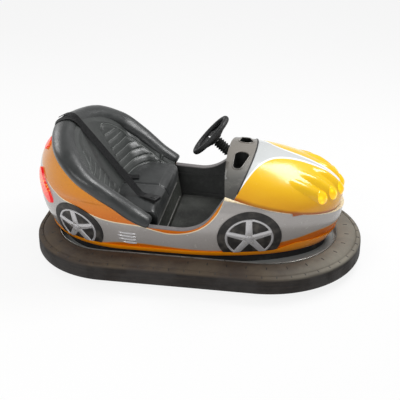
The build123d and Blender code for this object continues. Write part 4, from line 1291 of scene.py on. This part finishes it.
def teardrop(side, grow, steps=18):
    """Outline round a pocket's two circles."""
    (ax, ay, ar), (bx, by, br) = POCKET
    a, b = Vector((ax, ay)), Vector((bx, by))
    run = (b - a).normalized()
    lean = math.acos((ar - br) / (b - a).length)
    base = math.atan2(run.y, run.x)
    points = []
    for middle, radius, start, sweep, count in (
        (a, ar, base + lean, math.tau - 2 * lean, 2 * steps), (b, br, base - lean, 2 * lean, steps),
    ):
        for step in range(count + 1):
            points.append(middle + polar(start + sweep * step / count).xy * (radius + grow))
    return [Vector((point.x, side * point.y)) for point in points]


def cowl_height(point):
    """Height of the cowl's crown, which the bonnet's sphere carries on."""
    low, high = 0.4, 0.8
    for _ in range(30):
        middle = (low + high) / 2
        local = BONNET_TURN.transposed() @ (Vector((point.x, point.y, middle)) - BONNET_CENTRE)
        inside = sum((part / radius) ** 2 for part, radius in zip(local, BONNET_RADII)) < 1
        low, high = (middle, high) if inside else (low, middle)
    return low


cowl = loose_copy("dash_cowl")
reworked(cowl.data, lambda form: bmesh.ops.remove_doubles(form, verts=form.verts, dist=1e-6))
cups, lips, cutters = Shape(), Shape(), []
for side in (-1, 1):
    inner, outer = teardrop(side, 0), teardrop(side, CUP_WALL)
    cutter = Shape()
    cutter.closed([raised(outer, [height] * len(outer)) for height in (POCKET_FLOOR - 0.008, 0.80)])
    mesh = cutter.mesh("cutter")
    reworked(mesh, outward)
    cutters.append(linked("cutter", mesh))
    cut = cowl.modifiers.new("cut", "BOOLEAN")
    cut.operation = "DIFFERENCE"
    cut.solver = "EXACT"
    cut.object = cutters[-1]
    tops = [cowl_height(point) - 0.001 for point in inner]
    cups.closed([
        raised(inner, [POCKET_FLOOR] * len(inner)), raised(inner, tops),
        raised(outer, tops), raised(outer, [POCKET_FLOOR - CUP_WALL] * len(outer)),
    ])
    mouth = teardrop(side, CUP_WALL / 2)
    lips.tube(raised(mouth, [cowl_height(point) for point in mouth]), 0.0042, 10, loop=True)
cut_mesh = applied(cowl)
for spare in (*cutters, cowl):
    bpy.data.objects.remove(spare)
cowl = settle("cowl_moulding", cut_mesh, "dash_grey", sharp=30)
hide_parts("dash_cowl")
cups.piece("pocket_cups", "liner_black")
lips.piece("pocket_lips", "dash_grey")

# Stars of the moulded wheel trims, one spoke up, laid over the CAD discs; their caps and nuts
disc_skin = skin("wheel_trim_discs")
# Middle and outward direction of the left side's trims, and their radius
TRIMS = (
    (Vector((0.347, 0.400, 0.298)), Vector((0, 1, 0)), 0.136),
    (Vector((-0.655, 0.362, 0.280)), Vector((-0.45, 0.86, -0.24)), 0.1277),
)
STAR_RING = 0.90
STAR_HUB = 0.25
SPOKE_ROOT = 0.165
SPOKE_TIP = 0.125
STAR_RISE = 0.004
STAR_RIDGE = 0.0026
STAR_RINGS = 52
STAR_SIDES = 260
NUT_CIRCLE = 0.031
TRIM_OUTSIDE = 0.6
TRIM_DEPTH = 0.8


def trim_places():
    """Frame, outward direction and radius of each wheel trim."""
    for middle, normal, radius in TRIMS:
        for side in (-1, 1):
            out = mirrored(normal, side).normalized()
            yield facing(mirrored(middle, side), out), out, radius


def trim_hit(tree, place, out, up, across):
    """Where a trim's surface lies under a place on its disc."""
    return tree.ray_cast(place @ Vector((up, across, TRIM_OUTSIDE)), -out, TRIM_DEPTH)


def star_rise(up, across, radius):
    """Height of a star over its disc; below the disc between the spokes."""
    reach = math.hypot(up, across)
    inner = STAR_RING * radius
    ring = min(reach - inner, radius - reach)
    blade = STAR_HUB * radius - reach
    for angle in turns(5):
        along = up * math.cos(angle) + across * math.sin(angle)
        aside = abs(across * math.cos(angle) - up * math.sin(angle))
        if 0 < along and reach < radius:
            half = radius * (SPOKE_ROOT + (SPOKE_TIP - SPOKE_ROOT) * min(1, along / inner))
            blade = max(blade, half - aside)
    depth = max(ring, blade)
    if depth <= 0:
        return -0.0015
    ridge = STAR_RIDGE * min(1, max(0, blade) / 0.016)
    return STAR_RISE * min(1, depth / 0.0024) ** 0.5 + ridge


shape = Shape()
for place, out, radius in trim_places():
    start, found = len(shape.points), []
    for ring in range(STAR_RINGS):
        reach = radius * (0.01 + 0.99 * ring / (STAR_RINGS - 1))
        for angle in turns(STAR_SIDES):
            up, across = reach * math.cos(angle), reach * math.sin(angle)
            hit = trim_hit(disc_skin, place, out, up, across)
            found.append(hit[0] is not None)
            base = hit[0] if found[-1] else place @ Vector((up, across, 0))
            shape.points.append(base + out * star_rise(up, across, radius))
    for ring in range(STAR_RINGS - 1):
        for step in range(STAR_SIDES):
            here, after = ring * STAR_SIDES + step, ring * STAR_SIDES + (step + 1) % STAR_SIDES
            corners = [here, after, after + STAR_SIDES, here + STAR_SIDES]
            if all(found[corner] for corner in corners):
                shape.faces.append([start + corner for corner in corners])
stars = shape.piece("wheel_trim_spokes", "silver_trim", sharp=50)
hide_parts("wheel_trim_stars")
star_tree = search_tree(stars.data)
caps, nuts = Shape(), Shape()
for place, out, radius in trim_places():
    hit = trim_hit(star_tree, place, out, 0.006, 0)
    caps.turned(facing(hit[0] - out * 0.003, hit[1] if hit[1].dot(out) > 0 else -hit[1]), (
        (0.022, 0), (0.022, 0.004), (0.0205, 0.0062), (0.017, 0.0070), (0.0165, 0.0058),
        (0.013, 0.0060), (0.006, 0.0072), (0.001, 0.0075)), 32)
    for angle in turns(5):
        hit = trim_hit(star_tree, place, out, NUT_CIRCLE * math.cos(angle), NUT_CIRCLE * math.sin(angle))
        if hit[0] is not None:
            bolt(nuts, facing(hit[0] - out * 0.0005, out), 0.0042)
caps.piece("trim_caps", "silver_trim")
nuts.piece("trim_nuts", "steel")

# ---------------------------------------------------------------- steering wheel
wheel_joint = next(joint for joint in frame["joints"] if joint["name"] == "steering_wheel_turn")
wheel_axis = Vector(wheel_joint["axis"])
wheel_centre = Vector(wheel_joint["pos_m"])
RIM_RADIUS = 0.1295
RIM_THICK = 0.0155
RIM_SIDES = 28
RIM_STEPS = 192
GRIP_DEPTH = 0.0011
GRIPS = 60
wheel_place = facing(wheel_centre, -wheel_axis, LEFT)
shape = Shape()
rows = []
for angle in turns(RIM_STEPS):
    row = []
    for around in turns(RIM_SIDES):
        inward = max(0, -math.cos(around))
        thick = RIM_THICK + GRIP_DEPTH * inward**0.5 * max(0, math.cos(angle * GRIPS))
        spot = polar(angle) * (RIM_RADIUS + thick * math.cos(around)) + UP * thick * math.sin(around)
        row.append(wheel_place @ spot)
    rows.append(row)
shape.grid(rows, ring=True, loop=True)
rim = shape.piece("wheel_rim", "wheel_rubber", "steering", sharp=60)
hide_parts("steering_wheel")

# Dished spokes: three broad blades from the hub out to the rim, and the hub behind them
SPOKE_ROWS, SPOKE_COLUMNS = 15, 13
shape = Shape()
for turn in range(3):
    middle = math.radians(90 + 120 * turn)
    front, back = [], []
    for step in range(SPOKE_ROWS):
        share = step / (SPOKE_ROWS - 1)
        reach = 0.026 + 0.094 * share
        depth = -0.034 + 0.030 * share**1.3
        spread = math.radians(59.7 - 3.5 * math.sin(math.pi * share) ** 0.8)
        row = []
        for column in range(SPOKE_COLUMNS):
            across = 2 * column / (SPOKE_COLUMNS - 1) - 1
            angle = middle + spread * across
            crown = 0.004 * (1 - across**2)
            row.append(polar(angle, reach, depth + crown))
        front.append([wheel_place @ point for point in row])
        back.append([wheel_place @ (point - UP * (0.010 - 0.003 * share)) for point in row])
    shape.grid([a + list(reversed(b)) for a, b in zip(front, back)], ring=True)
    width = 2 * SPOKE_COLUMNS
    for first in (len(shape.points) - SPOKE_ROWS * width, len(shape.points) - width):
        shape.faces.append(list(range(first, first + width)))
shape.turned(wheel_place @ Matrix.Translation((0, 0, -0.046)), (
    (0.030, 0), (0.041, 0.002), (0.043, 0.006), (0.043, 0.016), (0.040, 0.021), (0.020, 0.024), (0.001, 0.024)
), 40)
shape.piece("wheel_spokes", "wheel_rubber", "steering", sharp=50)
shape = Shape()
hub = wheel_place @ Matrix.Translation((0, 0, -0.0235))
shape.turned(hub, (
    (0.040, 0), (0.040, 0.005), (0.037, 0.009), (0.031, 0.0105), (0.030, 0.009), (0.024, 0.010),
    (0.012, 0.0125), (0.001, 0.013)
), 40)
shape.piece("wheel_hub_cap", "black_plastic", "steering")
shape = Shape()
for turn in range(3):
    bolt(shape, hub @ Matrix.Translation(polar(math.radians(30 + 120 * turn), 0.0345, 0.0094)), 0.0028)
shape.piece("wheel_hub_screws", "steel", "steering")


# ---------------------------------------------------------------- running gear
TREAD_HEIGHT = 0.0022


def tread(name, centre, radius, width, blocks, body):
    """Two staggered rows of tread blocks round a tyre."""
    shape = Shape()
    for row, offset in enumerate((-0.25, 0.25)):
        for angle in turns(blocks, 0.5 * row):
            out = rolled(angle)
            place = facing(centre + out * (radius - TREAD_HEIGHT) + LEFT * offset * width, out, LEFT)
            size = math.tau * radius / blocks * 0.62
            shape.slab(place, rounded_outline(width * 0.36, size, 0.002, 2), TREAD_HEIGHT, 0.0006)
    shape.piece(name, "tyre", body)


for node, body, blocks in (
    ("drive_tyre", "drive_wheel", 36),
    ("rear_tyre_left", "rear_wheel_left", 28),
    ("rear_tyre_right", "rear_wheel_right", 28),
):
    low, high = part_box(node)
    tread(f"{node}_tread", (low + high) / 2, (high.z - low.z) / 2, high.y - low.y, blocks, body)

for hand in ("left", "right"):
    node = f"rear_hub_{hand}"
    low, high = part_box(node)
    middle = (low + high) / 2
    shape = Shape()
    for side in (-1, 1):
        for angle in turns(4, 0.5):
            bolt(shape, facing(middle + rolled(angle, 0.032, side * 0.0151), LEFT * side), 0.0035)
    shape.piece(f"rear_hub_bolts_{hand}", "steel", f"rear_wheel_{hand}")

# Cooling fins round the motor
low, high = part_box("drive_motor")
middle = (low + high) / 2
shape = Shape()
motor_radius = (high.z - low.z) / 2
for angle in turns(30):
    out = rolled(angle)
    place = facing(middle + LEFT * 0.005 + out * (motor_radius - 0.001), out, LEFT)
    shape.slab(place, rounded_outline(0.062, 0.0022, 0.001, 2), 0.004, 0.0006)
shape.piece("motor_fins", "motor_paint", "drive_unit")

# Battery lid, cell caps and terminals
low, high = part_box("battery")
middle = (low + high) / 2
shape = Shape()
lid = Matrix.Translation((middle.x, middle.y, high.z))
shape.slab(lid, rounded_outline(high.x - low.x + 0.006, high.y - low.y + 0.006, 0.014), 0.012, 0.003)
for cell in range(6):
    spot = lid @ Matrix.Translation((0.03, (cell - 2.5) * 0.058, 0.0115))
    shape.turned(spot, (
        (0.014, 0), (0.014, 0.004), (0.0125, 0.006), (0.004, 0.006), (0.004, 0.0045), (0.001, 0.0045)
    ), 24)
shape.piece("battery_lid", "battery_case")
shape = Shape()
for side in (-1, 1):
    spot = lid @ Matrix.Translation((-0.055, side * 0.15, 0.0115))
    shape.turned(spot, (
        (0.012, 0), (0.012, 0.003), (0.008, 0.0035), (0.007, 0.014), (0.0055, 0.016), (0.001, 0.016)
    ), 24)
shape.piece("battery_terminals", "steel")

# Rubber ribs on the pedal
pedal_skin = skin("accelerator_pedal")
low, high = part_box("accelerator_pedal")
shape = Shape()
for rib in range(6):
    height = low.z + 0.016 + 0.0095 * rib
    ends = []
    for y in (low.y + 0.008, high.y - 0.008):
        ends.append(pedal_skin.ray_cast(Vector((low.x - 0.2, y, height)), Vector((1, 0, 0)), 0.6)[0])
    shape.tube([ends[0].lerp(ends[1], step / 6) for step in range(7)], 0.0022, 8)
shape.piece("pedal_ribs", "tyre_black")

# Metal edging on the seat base, above the floor
base_skin = skin("seat_base")
shape = Shape()
for height, width in ((0.274, 0.012), (0.176, 0.010)):
    path = []
    for step in range(25):
        hit = base_skin.ray_cast(Vector((0, -0.30 + 0.60 * step / 24, height)), Vector((-1, 0, 0)), 0.5)
        if hit[0] is not None:
            path.append(hit[0])
    shape.tube(path, width / 2, 10)
shape.piece("kick_edging", "steel")

# ---------------------------------------------------------------- stage
FLOOR_REACH = 60
FLOOR_GLOW = 0.85
STUDIO_LIGHT = 0.42
floor = bpy.data.meshes.new("floor")
corners = ((-1, -1), (1, -1), (1, 1), (-1, 1))
floor.from_pydata([(x * FLOOR_REACH, y * FLOOR_REACH, 0) for x, y in corners], [], [(0, 1, 2, 3)])
floor_piece = linked("floor", floor)
paper = Finish("floor_paper", (0.86, 0.86, 0.86), 0.9)
glow = paper.node("ShaderNodeEmission", {"Color": (1, 1, 1, 1)})
share = paper.calc("MULTIPLY", paper.seen_by("Camera", "Glossy"), FLOOR_GLOW)
blend = paper.node("ShaderNodeMixShader", {0: share, 1: paper.shader.outputs[0], 2: glow.outputs[0]})
paper.feed(paper.tree.nodes["Material Output"].inputs["Surface"], blend.outputs[0])
floor.materials.append(paper.material)

# White world behind the car, dimmer as the light that falls on it
world = bpy.data.worlds.new("studio")
scene.world = world
world.use_nodes = True
studio = Graph(world.node_tree)
back = studio.tree.nodes["Background"]
studio.feed(back.inputs["Color"], (1, 1, 1, 1))
strength = {"Value": studio.seen_by("Camera", "Transmission"), "To Min": STUDIO_LIGHT, "To Max": 1.0}
studio.feed(back.inputs["Strength"], studio.node("ShaderNodeMapRange", strength).outputs[0])


def aim(made, place, direction):
    """Puts a lamp or camera at a place, looking in a direction."""
    made.location = place
    made.rotation_mode = "QUATERNION"
    made.rotation_quaternion = direction.to_track_quat("-Z", "Y")


def lamp(name, place, target, size, power):
    light = bpy.data.lights.new(name, "AREA")
    light.shape = "RECTANGLE"
    light.size, light.size_y = size
    light.energy = power
    aim(linked(name, light), Vector(place), Vector(target) - Vector(place))


lamp("key", (1.6, 1.2, 3.6), (0.1, 0, 0.4), (2.4, 1.2), 105)
lamp("side", (-1.2, -3.4, 2.6), (0, 0, 0.4), (3.0, 1.6), 60)
lamp("tail", (-3.2, 1.6, 2.4), (-0.5, 0, 0.6), (1.6, 1.6), 30)

# ---------------------------------------------------------------- camera
AZIMUTH = math.radians(9.5)
ELEVATION = math.radians(28.32)
DISTANCE = 6.0
TARGET_HEIGHT = 0.15
flat = math.cos(ELEVATION)
back = Vector((math.sin(AZIMUTH) * flat, -math.cos(AZIMUTH) * flat, math.sin(ELEVATION)))
camera = linked("camera", bpy.data.cameras.new("camera"))
aim(camera, UP * TARGET_HEIGHT + back * DISTANCE, -back)
camera.data.sensor_width = 36
camera.data.lens = 88.31
camera.data.shift_y = 0.0608
scene.camera = camera
scene.view_settings.view_transform = "Standard"
